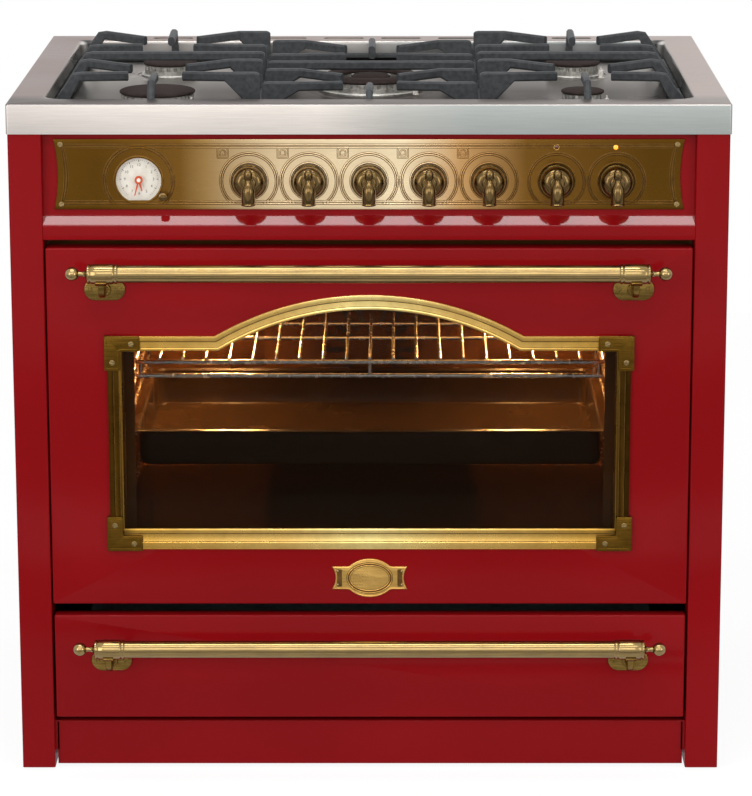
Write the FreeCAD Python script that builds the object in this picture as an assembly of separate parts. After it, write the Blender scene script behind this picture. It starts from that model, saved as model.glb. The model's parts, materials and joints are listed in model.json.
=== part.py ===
import FreeCAD, Part
import math
import os

os.makedirs("parts", exist_ok=True)

Vector = FreeCAD.Vector
ORIGIN = Vector(0, 0, 0)
RIGHT = Vector(1, 0, 0)
BACK = Vector(0, 1, 0)
UP = Vector(0, 0, 1)

# All lengths are millimetres. X runs right, Y runs back, Z runs up from the floor.
# Every piece is drawn with Y measured back from the front face of the posts,
# and save() shifts it so that the origin lies under the middle of the cooker.

# The whole cooker
cooker_width = 900.0
cooker_depth = 600.0
sheet = 2.0
fine_sheet = 1.2
seat_gap = 0.3
run_gap = 0.05
overrun = 5.0
aligned_share = 0.5
hexagon_sides = 6

# Side panels, each one sheet folded into a front post
post_width = 42.0
post_return = 44.0
side_bottom = 3.0

# The front, stacked from the floor up: plinth, drawer, door, fascia and hob band, with air between
plinth_bottom = 5.0
plinth_height = 59.0
plinth_air = 7.5
drawer_height = 137.9
drawer_air = 15.0
door_height = 465.8
door_air = 9.8
fascia_height = 135.0
hob_band = 38.0
plinth_recess = 10.0
plinth_side_gap = 3.0

# Carcass sheets
cavity_front = 44.0
shelf_lift = 8.6
deck_drop = 4.0
plinth_tab_drop = 40.0
bearer_length = 60.0
bearer_width = 40.0

# Levelling feet
foot_dia = 40.0
foot_thickness = 6.0
foot_stud_dia = 10.0
foot_nut_flats = 17.0
foot_nut_thickness = 8.0
foot_inset_side = 60.0
foot_inset_end = 80.0

# Oven cavity, inside sizes
cavity_width = 650.0
cavity_rear_air = 120.0
cavity_lift = 67.0
cavity_drop = 46.0

# Door seal
seal_width = 12.0
seal_margin = 6.0

# Shelf ladders
ladder_wire = 5.0
ladder_post_wire = 6.0
ladder_front = 66.0
ladder_rear_air = 46.0
ladder_foot = 32.5
ladder_head = 62.5
ladder_levels = 6
ladder_runner_gap = 12.0
ladder_stand_off = 14.0

# Wire rack and deep tray
tray_level_count = 2
rack_level_count = 4
rack_side_gap = 2.0
rack_frame_wire = 6.0
rack_side_wire = 5.6
rack_cross_wire = 5.0
rack_wire = 4.0
rack_wire_count = 21
rack_weld_sink = 0.8
rack_lip_drop = 18.0
rack_cross_shares = (0.38, 0.62)
tray_depth = 50.0
tray_rim = 12.0
tray_corner = 14.0

# Fan, cover and heating elements
fan_lift = 170.0
fan_dia = 150.0
fan_thickness = 16.0
fan_hub_dia = 30.0
fan_blades = 12
fan_shaft_dia = 8.0
fan_boss_dia = 22.0
fan_boss_length = 10.0
fan_blade_width = 12.0
fan_cover_width = 300.0
fan_cover_height = 260.0
fan_cover_stand_off = 40.0
fan_slot_width = 7.0
fan_slot_count = 20
fan_slot_inner_share = 0.45
fan_slot_outer_share = 0.9
element_dia = 6.5
element_leg_dia = 5.5
ring_element_dia = 195.0
grill_half_width = 220.0
grill_front = 110.0
grill_rear_air = 80.0
grill_drop = 26.0
grill_legs = 6
element_plate = 30.0

# Oven lamp
lamp_drop = 50.0
lamp_offset = 250.0
lamp_ring_dia = 62.0
lamp_glass_dia = 46.0
lamp_ring_depth = 6.0
lamp_dome = 12.0

# Control fascia and its ledge
fascia_recess = 12.0
fascia_lip = 19.0
ledge_height = 11.0
ledge_setback = 1.0

# Brass control plate
plate_side_gap = 14.0
plate_waist_bite = 5.0
plate_foot = 8.0
plate_head = 8.0
plate_thickness = 2.5
plate_relief = 0.7
plate_line_side = 9.0
plate_line_end = 7.0
plate_line_width = 1.6
plate_screw_side_inset = 9.0
plate_screw_inset = 6.5
screw_dia = 7.0
screw_rise = 1.5
screw_slot = 1.1
screw_turn_step = 35.0
corner_screw_turn_step = 45.0

# Knobs
knob_drop = 8.5
gas_knob_places = (-150.0, -75.0, 0.0, 75.0, 150.0)
oven_knob_places = (234.4, 309.4)
knob_ring_dia = 73.0
knob_ring_width = 3.5
knob_travel = 3.0
knob_air = 0.6
flange_dia = 43.0
flange_thickness = 3.0
dome_base_dia = 34.0
dome_top_dia = 20.0
dome_rise = 15.0
dome_middle_share = 0.58
dome_swell_share = 0.38
hub_dia = 15.0
lever_rise = 28.0
lever_tip = 20.0
lever_tip_dia = 11.0
lever_neck_dia = 7.0
lever_neck_top = 7.0
lever_neck_bottom = 3.0
lever_cone_end = -6.0
lever_dia = 17.0
lever_end = -26.0
lever_bead_dia = 19.0
lever_bead = 3.0

# Burner marks beside the gas knobs
mark_side = 14.5
mark_offset = 32.7
mark_drop = 17.0

# Control valves, spindles and gas rail
spindle_dia = 8.0
spindle_bore_depth = 16.0
spindle_hole_dia = 14.0
valve_front = 22.0
valve_depth = 42.0
valve_width = 24.0
valve_height = 30.0
valve_outlet_dia = 10.0
valve_outlet_rise = 16.0
rail_side = 20.0
rail_right = 340.0
pipe_dia = 15.0
pipe_bend = 40.0
inlet_dia = 20.95
inlet_reach = 25.0
inlet_nut_flats = 30.0
inlet_nut_length = 12.0
pipe_hole_gap = 1.0

# Indicator lamps
lamp_places = (234.0, 308.0)
pilot_drop = 10.0
pilot_dia = 7.0
pilot_rise = 1.6
pilot_depth = 14.0

# Clock
clock_place = -288.0
clock_drop = 7.5
clock_ring_dia = 90.0
clock_inner_ring_dia = 82.0
dial_dia = 60.0
dial_recess = 4.0
dial_thickness = 3.0
clock_depth = 26.0
arbor_dia = 5.0
arbor_sleeve_dia = 8.0
hand_thickness = 0.6
minute_hand_length = 20.0
hour_hand_length = 14.0
hand_width = 2.6
hand_spacing = 0.8
hand_rest_angle = 255.0
hour_rest_angle = 285.0
setting_offset = 31.0
setting_drop = 19.0
setting_dia = 11.0
setting_round = 2.2
setting_length = 12.0
setting_shaft_dia = 4.0

# Oven door
door_side_gap = 2.0
door_panel_sheet = 2.0
door_flange = 26.0
outer_glass = 4.0
door_glass_gap = 0.3
inner_frame_front = 26.6
inner_frame_back = 40.0
inner_frame_lift = 8.0
inner_window_side_margin = 25.0
inner_window_margin = 30.0
inner_glass = 4.0
inner_glass_rebate = 12.0
liner_post_inset = 72.0
hinge_setback = 14.0
hinge_rise = 12.0
hinge_pin_dia = 8.0
hinge_ear = 3.0
hinge_ear_gap = 14.0
hinge_inset = 46.0
hinge_arm_height = 30.0

# Window frame with its arch
frame_side_margin = 76.0
frame_lift = 74.6
frame_drop = 112.5
arch_centre_drop = 332.2
frame_arch_radius = 385.2
frame_side_strip = 18.0
frame_top_strip = 19.0
frame_bottom_strip = 26.5
frame_rise = 5.0
frame_lip = 6.0
frame_lip_rise = 2.0
hole_margin = 6.0

# Frame corners and their screws
corner_side_lap = 4.0
corner_top_lap = 0.8
corner_bottom_lap = 2.0
corner_leg = 45.0
corner_band = 20.0
corner_thickness = 1.8
corner_screw_inset = 10.0
corner_screw_far = 34.0

# Badge plate, left bare
badge_lift = 35.6
badge_bite_share = 0.3
badge_half_width = 48.0
badge_side_half_height = 15.0
badge_oval_half_width = 32.5
badge_oval_half_height = 25.5
badge_thickness = 2.5
badge_ring = 2.4
badge_ring_rise = 1.2
badge_rivet_x = 41.0
badge_rivet_z = 9.0
badge_rivet_dia = 3.6
badge_rivet_rise = 1.0

# Handles, the same on door and drawer
handle_stand_off = 50.0
handle_bar_dia = 22.5
handle_collar_dia = 25.3
handle_collar_start = 312.0
handle_collar_end = 349.0
handle_groove = 1.5
handle_neck_dia = 6.0
handle_neck_start = 355.0
handle_ball_centre = 368.0
handle_ball_dia = 17.7
door_handle_drop = 22.2
drawer_handle_drop = 29.4
bracket_place = 332.0
bracket_drop = 30.0
bracket_base_length = 52.0
bracket_base_height = 28.0
bracket_base_thickness = 4.0
bracket_strap_width = 12.0
bracket_strap_thickness = 7.0
bracket_screw_place = 19.0

# Drawer and its runners
drawer_side_gap = 3.0
drawer_front_depth = 20.0
drawer_box_depth = 440.0
drawer_box_side_inset = 37.0
drawer_box_lift = 12.5
drawer_box_drop = 23.4
runner_height = 30.0
runner_lift = 26.0
runner_thickness = 10.0
runner_gap = 0.5

# Hob tray
hob_overhang = 1.5
hob_border = 41.0
basin_front = 41.0
basin_rear_border = 42.0
basin_depth = 30.0
basin_corner = 28.0
vent_length = 56.0
vent_depth = 17.0
vent_pitch = 80.0
vent_count = 10
vent_inset = 24.0
rear_outlet_height = 14.0
duct_wall_drop = 16.0

# Burners: place across, place back from the front, cap diameter
burners = {
    "front_left": (-275.0, 180.0, 98.0),
    "rear_left": (-275.0, 430.0, 73.0),
    "rear_right": (275.0, 430.0, 74.0),
    "front_right": (275.0, 180.0, 56.0),
}
wok_place = (0.0, 305.0)
wok_dia = 133.0
wok_slot = 14.0
wok_inner_cap = 52.0
cap_top_drop = 8.0
cap_thickness = 6.0
cap_overhang = 2.0
port_width = 2.0
port_height = 4.0
port_pitch = 9.0
burner_collar = 5.0
burner_collar_height = 4.0
mixer_dia = 30.0
mixer_drop = 20.0
plug_dia = 7.0
plug_gap = 6.0
plug_tip_dia = 2.0
plug_tip = 4.0
plug_turn = 40.0

# Pan supports
support_outer_gap = 4.0
support_division = 139.0
support_division_gap = 1.0
support_front_gap = 3.0
support_rear_gap = 4.0
support_rise = 21.0
wok_support_rise = 8.5
bar_width = 9.0
bar_height = 12.0
base_rail_width = 16.0
cross_rail_width = 8.0
base_rail_height = 7.0
base_rail_clear = 6.0
support_foot_side = 12.0
support_wall_gap = 1.5
finger_rows = (125.0, 238.0, 370.0, 499.0)
cross_bar_row = 305.0
finger_centres = (180.0, 430.0)
finger_kink = 92.0
finger_tip = 36.0
finger_tip_drop = 3.0
finger_lean_share = 0.45
outer_kink = 30.0
long_finger_length = 96.0
gusset_run = 62.0

# Back panel, inlet and cable gland
back_panel_lap = 2.0
gland_bore_dia = 14.0
gland_collar_dia = 24.0
gland_length = 14.0
gland_x = 300.0
gland_lift = 90.0

# Where the pieces meet, worked out from the sizes above
half_width = cooker_width / 2
post_inner = half_width - post_width
cavity_half = cavity_width / 2
door_half = post_inner - door_side_gap
drawer_half = post_inner - drawer_side_gap
basin_half = half_width - hob_border
plate_half_width = post_inner - plate_side_gap
plate_waist = plate_half_width - plate_waist_bite
plate_screw_x = plate_half_width - plate_screw_side_inset
hinge_place = door_half - hinge_inset
frame_half_width = door_half - frame_side_margin
inner_window_half_width = cavity_half - inner_window_side_margin
drawer_box_half_width = drawer_half - drawer_box_side_inset
support_outer_half_width = basin_half - support_outer_gap
cavity_back = cooker_depth - cavity_rear_air
ladder_rear = cavity_back - ladder_rear_air
grill_rear = cavity_back - grill_rear_air
basin_back = cooker_depth - basin_rear_border
vent_centre = cooker_depth - vent_inset
support_front = basin_front + support_front_gap
support_rear = basin_back - support_rear_gap
plinth_top = plinth_bottom + plinth_height
drawer_bottom = plinth_top + plinth_air
drawer_top = drawer_bottom + drawer_height
door_bottom = drawer_top + drawer_air
door_top = door_bottom + door_height
fascia_bottom = door_top + door_air
hob_bottom = fascia_bottom + fascia_height
hob_height = hob_bottom + hob_band
base_height = plinth_top - sheet
shelf_height = drawer_top + shelf_lift
deck_height = fascia_bottom - deck_drop
cavity_floor = shelf_height + cavity_lift
cavity_ceiling = deck_height - cavity_drop
ladder_bottom = cavity_floor + ladder_foot
ladder_top = cavity_ceiling - ladder_head
fan_height = cavity_floor + fan_lift
lamp_height = cavity_ceiling - lamp_drop
ledge_bottom = fascia_bottom + fascia_lip
ledge_top = ledge_bottom + ledge_height
plate_bottom = ledge_top + plate_foot
plate_top = hob_bottom - plate_head
plate_middle = (plate_bottom + plate_top) / 2
knob_height = plate_middle - knob_drop
mark_height = plate_top - mark_drop
pilot_height = plate_top - pilot_drop
clock_height = plate_middle - clock_drop
setting_x = clock_place + setting_offset
setting_height = clock_height - setting_drop
inner_window_bottom = cavity_floor + inner_window_margin
inner_window_top = cavity_ceiling - inner_window_margin
frame_bottom = door_bottom + frame_lift
frame_shoulder = door_top - frame_drop
arch_centre_height = frame_shoulder - arch_centre_drop
corner_half_width = frame_half_width + corner_side_lap
corner_top = frame_shoulder + corner_top_lap
corner_bottom = frame_bottom - corner_bottom_lap
badge_height = door_bottom + badge_lift
door_handle_height = door_top - door_handle_drop
drawer_handle_height = drawer_top - drawer_handle_drop
drawer_box_bottom = drawer_bottom + drawer_box_lift
drawer_box_top = drawer_top - drawer_box_drop
runner_bottom = drawer_box_bottom + runner_lift
support_top = hob_height + support_rise
wok_support_top = hob_height + wok_support_rise
back_panel_bottom = base_height - back_panel_lap
gland_height = back_panel_bottom + gland_lift
side_depth = cooker_depth - sheet
handle_reach = handle_stand_off + handle_collar_dia / 2
whole_depth = cooker_depth + handle_reach + inlet_reach
front_y = handle_reach - whole_depth / 2
flange_back = cavity_front + sheet
glass_front = door_panel_sheet + door_glass_gap
hinge_height = door_bottom + hinge_rise
plate_front = fascia_recess - plate_thickness
knob_back = plate_front - plate_relief - knob_travel - knob_air
rail_front = valve_front + valve_depth
rail_centre = rail_front + rail_side / 2
basin_floor = hob_height - basin_depth
cap_top = hob_height - cap_top_drop
frame_inner_half = frame_half_width - frame_side_strip
frame_inner_bottom = frame_bottom + frame_bottom_strip
frame_inner_shoulder = frame_shoulder - frame_top_strip
frame_inner_radius = frame_arch_radius - frame_top_strip


def block(x0, x1, y0, y1, z0, z1):
    """Rectangular block between its lowest and highest corners."""
    return Part.makeBox(x1 - x0, y1 - y0, z1 - z0, Vector(x0, y0, z0))


def rod(start, end, dia):
    """Round rod between two points."""
    along = end - start
    return Part.makeCylinder(dia / 2, along.Length, start, along)


def disc(x, y, z, dia, length, axis):
    """Round disc that starts at a point and runs along an axis."""
    return Part.makeCylinder(dia / 2, length, Vector(x, y, z), axis)


def ring(x, y, z, outer_dia, inner_dia, length, axis):
    """Flat ring that starts at a point and runs along an axis."""
    outer = disc(x, y, z, outer_dia, length, axis)
    inner = disc(x, y, z, inner_dia, length + 2 * overrun, axis)
    inner.translate(axis * -overrun)
    return outer.cut(inner)


def closed_wire(path):
    """Closed wire through points; a pair in the path is an arc's middle and its end."""
    edges = []
    at = path[0]
    for step in list(path[1:]) + [path[0]]:
        if isinstance(step, tuple):
            middle, end = step
            edges.append(Part.Arc(at, middle, end).toShape())
        else:
            end = step
            if (end - at).Length > run_gap / overrun:
                edges.append(Part.LineSegment(at, end).toShape())
        at = end
    return Part.Wire(edges)


def prism(path, along):
    """Solid made by moving a closed outline along a vector."""
    return Part.Face(closed_wire(path)).extrude(along)


def across(points, x0, x1):
    """Outline of (y, z) points carried from x0 to x1."""
    path = [Vector(x0, y, z) for y, z in points]
    return prism(path, Vector(x1 - x0, 0, 0))


def through(points, y0, y1):
    """Outline of (x, z) points carried from y0 to y1."""
    path = [Vector(x, y0, z) for x, z in points]
    return prism(path, Vector(0, y1 - y0, 0))


def upright(points, z0, z1):
    """Outline of (x, y) points carried from z0 to z1."""
    path = [Vector(x, y, z0) for x, y in points]
    return prism(path, Vector(0, 0, z1 - z0))


def turned(path, centre, axis):
    """Solid of revolution of a closed outline about an axis."""
    return Part.Face(closed_wire(path)).revolve(centre, axis, 360)


def hexagon(x, y, z, flats, length, axis):
    """Hexagonal nut blank whose first face centre is at a point."""
    radius = flats / 2 / math.cos(math.pi / hexagon_sides)
    corners = []
    for step in range(hexagon_sides):
        angle = 2 * math.pi * step / hexagon_sides
        corners.append((radius * math.cos(angle), radius * math.sin(angle)))
    if axis == UP:
        return upright([(x + a, y + b) for a, b in corners], z, z + length)
    return through([(x + a, z + b) for a, b in corners], y, y + length)


def rounded_plate(x0, x1, y0, y1, z0, z1, radius):
    """Block whose upright edges are rounded."""
    body = block(x0, x1, y0, y1, z0, z1)
    edges = [e for e in body.Edges if abs(e.tangentAt(e.FirstParameter).z) > aligned_share]
    return body.makeFillet(radius, edges)


def mirrored(shape):
    """The same piece on the other side of the cooker."""
    return shape.mirror(ORIGIN, RIGHT)


def both_sides(shape):
    """A right-hand piece and its left-hand mirror image."""
    return [shape, mirrored(shape)]


def joined(shapes):
    """One solid out of pieces that overlap or share faces."""
    return shapes[0].multiFuse(shapes[1:]).removeSplitter()


def dome_middle(half, rise):
    """Reach and drop, from the crown, of the middle point of a dome's arc centred on its axis."""
    radius = (half ** 2 + rise ** 2) / (2 * rise)
    reach = half / 2
    return reach, radius - math.sqrt(radius ** 2 - reach ** 2)


def save(name, shapes):
    """Write a node's solids, moved so that the origin is under the cooker's middle."""
    if not isinstance(shapes, list):
        shapes = [shapes]
    solids = []
    for shape in shapes:
        solids.extend(shape.Solids)
    group = Part.Compound(solids) if len(solids) > 1 else solids[0]
    group = group.copy()
    group.translate(Vector(0, front_y, 0))
    if not group.isValid():
        print("not valid:", name)
    group.exportStep("parts/" + name + ".step")


# Carcass

def side_panel():
    """Right side: outer sheet, front post face and its return."""
    points = [
        (half_width, 0), (half_width, side_depth), (half_width - sheet, side_depth),
        (half_width - sheet, sheet), (post_inner + sheet, sheet), (post_inner + sheet, post_return),
        (post_inner, post_return), (post_inner, 0),
    ]
    return upright(points, side_bottom, hob_bottom)


def make_sides():
    """The two folded side panels with their posts."""
    right = side_panel()
    save("side_panel_right", right)
    save("side_panel_left", mirrored(right))


def make_back():
    """Back panel with the gas pipe hole and a pressed gland collar for the mains cable."""
    panel = block(-half_width, half_width, side_depth, cooker_depth, back_panel_bottom, hob_bottom)
    hole = disc(rail_right, side_depth - overrun, knob_height, pipe_dia + 2 * pipe_hole_gap,
                sheet + 2 * overrun, BACK)
    collar_start = cooker_depth - gland_length
    collar = disc(gland_x, collar_start, gland_height, gland_collar_dia, gland_length, BACK)
    bore = disc(gland_x, collar_start - overrun, gland_height, gland_bore_dia,
                gland_length + 2 * overrun, BACK)
    save("back_panel", joined([panel, collar]).cut(hole).cut(bore))


def foot_places():
    """Where the four levelling feet stand."""
    x = half_width - foot_inset_side
    return [(sx * x, y) for sx in (-1, 1) for y in (foot_inset_end, cooker_depth - foot_inset_end)]


def make_carcass():
    """Base, oven shelf, deck under the controls, bearers under the cavity and the flue duct."""
    inner = half_width - sheet
    base = block(-inner, inner, cavity_front, side_depth, base_height, base_height + sheet)
    for x, y in foot_places():
        hole = disc(x, y, base_height - overrun, foot_stud_dia + 2 * seat_gap, sheet + 2 * overrun, UP)
        base = base.cut(hole)
    shelf = block(-inner, inner, flange_back, side_depth, shelf_height, shelf_height + sheet)
    deck = block(-inner, inner, flange_back, side_depth, deck_height, deck_height + sheet)
    bearers = []
    for y in (flange_back + bearer_length, cavity_back - bearer_length):
        bearers += both_sides(block(cavity_half - bearer_width, cavity_half, y, y + bearer_width,
                                    shelf_height + sheet, cavity_floor - sheet))
    duct_half = vent_pitch * vent_count / 2 - vent_pitch
    duct_front = basin_back + 2 * sheet
    duct_back = vent_centre + vent_depth / 2 + 2 * sheet
    duct_bottom = deck_height + sheet
    duct = block(-duct_half, duct_half, duct_front, duct_back, duct_bottom, hob_height - duct_wall_drop)
    hollow = block(-duct_half + fine_sheet, duct_half - fine_sheet, duct_front + fine_sheet,
                   duct_back - fine_sheet, duct_bottom + fine_sheet, hob_height + overrun)
    save("carcass_steelwork", [base, shelf, deck] + bearers + [duct.cut(hollow)] + hinge_arms())


def make_plinth():
    """Recessed kick plate with a top flange that meets the base."""
    points = [
        (plinth_recess, plinth_bottom), (plinth_recess, plinth_top), (cavity_front, plinth_top),
        (cavity_front, plinth_top - sheet), (plinth_recess + sheet, plinth_top - sheet),
        (plinth_recess + sheet, plinth_bottom),
    ]
    half = post_inner - plinth_side_gap
    tabs = both_sides(block(half - sheet, post_inner, plinth_recess, cavity_front,
                            plinth_top - plinth_tab_drop, plinth_top))
    save("plinth", joined([across(points, -half, half)] + tabs))


def make_feet():
    """Four levelling feet: pad, stud through the base and lock nut under it."""
    feet = []
    for x, y in foot_places():
        pad = disc(x, y, 0, foot_dia, foot_thickness, UP)
        stud = disc(x, y, foot_thickness, foot_stud_dia, base_height + sheet + foot_nut_thickness
                    - foot_thickness, UP)
        nut = hexagon(x, y, base_height - foot_nut_thickness, foot_nut_flats, foot_nut_thickness, UP)
        feet.append(joined([pad, stud, nut]))
    save("levelling_feet", feet)


def make_cavity():
    """Enamelled oven liner: front frame, box, rear fan bearing boss and lamp hole."""
    inner = half_width - sheet
    frame = block(-inner, inner, cavity_front, flange_back, shelf_height, deck_height + sheet)
    outside = block(-cavity_half - sheet, cavity_half + sheet, cavity_front, cavity_back + sheet,
                    cavity_floor - sheet, cavity_ceiling + sheet)
    inside = block(-cavity_half, cavity_half, cavity_front - overrun, cavity_back,
                   cavity_floor, cavity_ceiling)
    boss = disc(0, cavity_back + sheet, fan_height, fan_boss_dia, fan_boss_length, BACK)
    bore = disc(0, cavity_back - overrun, fan_height, fan_shaft_dia + 2 * run_gap,
                fan_boss_length + sheet + 2 * overrun, BACK)
    liner = joined([frame, outside, boss]).cut(inside).cut(bore)
    for arm in hinge_arm_slots():
        liner = liner.cut(arm)
    save("oven_cavity", liner)


def hinge_arm_slots():
    """Slots in the liner's front frame where the hinge hooks enter."""
    half = hinge_ear_gap / 2 + seat_gap
    slot = block(hinge_place - half, hinge_place + half, cavity_front - overrun,
                 flange_back + overrun, hinge_height - hinge_arm_height / 2 - seat_gap,
                 hinge_height + hinge_arm_height / 2 + seat_gap)
    return both_sides(slot)


def make_seal():
    """Rubber seal round the oven mouth."""
    near = cavity_half + seal_margin
    far = near + seal_width
    low = cavity_floor - seal_margin
    high = cavity_ceiling + seal_margin
    start = inner_frame_back + seat_gap
    outer = rounded_plate_through(-far, far, low - seal_width, high + seal_width, start, cavity_front,
                                  seal_margin + seal_width)
    inner = rounded_plate_through(-near, near, low, high, start - overrun, cavity_front + overrun,
                                  seal_margin)
    save("door_seal", outer.cut(inner))


def rounded_plate_through(x0, x1, z0, z1, y0, y1, radius):
    """Upright plate seen from the front with rounded corners."""
    body = block(x0, x1, y0, y1, z0, z1)
    edges = [e for e in body.Edges if abs(e.tangentAt(e.FirstParameter).y) > aligned_share]
    return body.makeFillet(radius, edges)


def ladder_heights():
    """Heights of the lower wire of each pair of runners."""
    step = (ladder_top - ladder_bottom) / ladder_levels
    return [ladder_bottom + step / 2 + step * level for level in range(ladder_levels)]


def shelf_ladder():
    """Right ladder: two uprights, pairs of runners and four wall stubs."""
    x = cavity_half - ladder_stand_off
    pieces = []
    for y in (ladder_front, ladder_rear):
        pieces.append(rod(Vector(x, y, ladder_bottom), Vector(x, y, ladder_top), ladder_post_wire))
        for z in (ladder_bottom + 2 * ladder_wire, ladder_top - 2 * ladder_wire):
            pieces.append(rod(Vector(x, y, z), Vector(cavity_half, y, z), ladder_wire))
    for z in ladder_heights():
        for height in (z, z + ladder_runner_gap + ladder_wire):
            pieces.append(rod(Vector(x, ladder_front, height), Vector(x, ladder_rear, height), ladder_wire))
    return joined(pieces)


def make_ladders():
    """Chrome ladders on both cavity walls."""
    save("shelf_ladders", both_sides(shelf_ladder()))


def shelf_plane(level):
    """Top of the lower runner on a level, where a shelf's edge rests."""
    return ladder_heights()[level] + ladder_wire / 2


def shelf_half_width():
    """Half the width of a rack or tray between the ladders, over the runners."""
    return cavity_half - ladder_stand_off - rack_side_gap + ladder_wire / 2


def shelf_depth_range():
    """Front and rear of a rack or tray between the ladders' uprights."""
    margin = ladder_post_wire / 2 + rack_side_gap + rack_frame_wire / 2
    return ladder_front + margin, ladder_rear - margin


def make_rack():
    """Wire rack: round frame, welded wires, two cross wires and a front lip."""
    half = shelf_half_width()
    z = shelf_plane(rack_level_count) + rack_frame_wire / 2 + seat_gap
    y0, y1 = shelf_depth_range()
    pieces = [
        rod(Vector(-half, y0, z), Vector(-half, y1, z), rack_side_wire),
        rod(Vector(half, y0, z), Vector(half, y1, z), rack_side_wire),
        rod(Vector(-half - rack_frame_wire / 2, y0, z), Vector(half + rack_frame_wire / 2, y0, z),
            rack_frame_wire),
        rod(Vector(-half - rack_frame_wire / 2, y1, z), Vector(half + rack_frame_wire / 2, y1, z),
            rack_frame_wire),
    ]
    inner = half - ladder_wire - rack_frame_wire
    for share in rack_cross_shares:
        y = y0 + (y1 - y0) * share
        pieces.append(rod(Vector(-half, y, z), Vector(half, y, z), rack_cross_wire))
    top = z + rack_frame_wire / 2 + rack_wire / 2 - rack_weld_sink
    pitch = 2 * inner / (rack_wire_count - 1)
    for count in range(rack_wire_count):
        x = -inner + pitch * count
        pieces.append(rod(Vector(x, y0, top), Vector(x, y1, top), rack_wire))
    low = z - rack_lip_drop
    pieces.append(rod(Vector(-inner, y0, low), Vector(inner, y0, low), rack_frame_wire))
    for x in (-inner + rack_frame_wire, 0, inner - rack_frame_wire):
        pieces.append(rod(Vector(x, y0, low), Vector(x, y0, z), rack_cross_wire))
    save("wire_rack", joined(pieces))


def make_tray():
    """Deep roasting tray whose rim rests on a lower pair of runners."""
    half = shelf_half_width()
    z = shelf_plane(tray_level_count) + seat_gap
    body_half = half - tray_rim
    y0, y1 = shelf_depth_range()
    rim = rounded_plate(-half, half, y0, y1, z, z + fine_sheet, tray_corner)
    body = rounded_plate(-body_half, body_half, y0 + tray_rim, y1 - tray_rim, z + fine_sheet - tray_depth,
                         z + fine_sheet, tray_corner)
    hollow = rounded_plate(-body_half + fine_sheet, body_half - fine_sheet, y0 + tray_rim + fine_sheet,
                           y1 - tray_rim - fine_sheet, z + 2 * fine_sheet - tray_depth,
                           z + overrun, tray_corner - fine_sheet)
    save("deep_tray", joined([rim, body]).cut(hollow))


def make_fan():
    """Fan wheel with its shaft in the rear boss."""
    back_face = cavity_back - fan_cover_stand_off / 2 + fan_thickness / 2
    front_face = back_face - fan_thickness
    plate = disc(0, back_face - sheet, fan_height, fan_dia, sheet, BACK)
    hub = disc(0, front_face, fan_height, fan_hub_dia, fan_thickness, BACK)
    shaft_end = cavity_back + sheet + fan_boss_length + overrun
    shaft = disc(0, front_face, fan_height, fan_shaft_dia, shaft_end - front_face, BACK)
    pieces = [plate, hub, shaft]
    rim = fan_dia / 2
    for count in range(fan_blades):
        blade = block(rim - fan_blade_width - sheet, rim - sheet, front_face, back_face - sheet / 2,
                      fan_height - fine_sheet / 2, fan_height + fine_sheet / 2)
        blade.rotate(Vector(0, 0, fan_height), BACK, 360 * count / fan_blades)
        pieces.append(blade)
    save("fan_wheel", joined(pieces))


def make_fan_cover():
    """Pressed cover over the fan, with a slotted rose and folded sides."""
    half = fan_cover_width / 2
    low = fan_height - fan_cover_height / 2
    high = fan_height + fan_cover_height / 2
    start = cavity_back - fan_cover_stand_off
    outer = rounded_plate_through(-half, half, low, high, start, cavity_back, tray_corner)
    inner = rounded_plate_through(-half + fine_sheet, half - fine_sheet, low + fine_sheet,
                                  high - fine_sheet, start + fine_sheet, cavity_back + overrun,
                                  tray_corner - fine_sheet)
    cover = outer.cut(inner)
    near = fan_dia / 2 * fan_slot_inner_share
    far = fan_dia / 2 * fan_slot_outer_share
    slots = []
    for count in range(fan_slot_count):
        slot = block(near, far, start - overrun, start + overrun, fan_height - fan_slot_width / 2,
                     fan_height + fan_slot_width / 2)
        slot.rotate(Vector(0, 0, fan_height), BACK, 360 * count / fan_slot_count)
        slots.append(slot)
    save("fan_cover", cover.cut(Part.Compound(slots)))


def make_elements():
    """Ring element round the fan and grill element under the ceiling."""
    ring_y = cavity_back - fan_cover_stand_off / 2
    radius = ring_element_dia / 2
    torus = Part.makeTorus(radius, element_dia / 2, Vector(0, ring_y, fan_height), BACK)
    leg = rod(Vector(0, ring_y, fan_height - radius), Vector(0, cavity_back, fan_height - radius),
              element_leg_dia)
    z = cavity_ceiling - grill_drop
    grill = grill_element(z)
    plate = block(-element_plate, element_plate, cavity_back - sheet, cavity_back,
                  fan_height - radius - element_dia, fan_height - radius + element_dia)
    hanger = block(-grill_half_width, grill_half_width, (grill_front + grill_rear) / 2, (grill_front
                   + grill_rear) / 2 + sheet, z - element_dia / 2, cavity_ceiling)
    save("heating_elements", [joined([torus, leg, plate]), joined([grill, hanger])])


def grill_element(z):
    """One long rod bent to and fro under the ceiling, with both ends in the rear wall."""
    pitch = 2 * grill_half_width / (grill_legs - 1)
    bend = pitch / 2
    edges = []
    for count in range(grill_legs):
        x = -grill_half_width + pitch * count
        first = cavity_back if count == 0 else grill_rear
        last = cavity_back if count == grill_legs - 1 else grill_rear
        forward = count % 2 == 0
        start = Vector(x, first if forward else grill_front, z)
        end = Vector(x, grill_front if forward else last, z)
        edges.append(Part.LineSegment(start, end).toShape())
        if count < grill_legs - 1:
            reach = -bend if forward else bend
            edges.append(Part.Arc(end, Vector(x + bend, end.y + reach, z), end + RIGHT * pitch).toShape())
    section = Part.Circle(Vector(-grill_half_width, cavity_back, z), BACK, element_dia / 2)
    return Part.Wire(edges).makePipeShell([Part.Wire([section.toShape()])], True, True)


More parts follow.
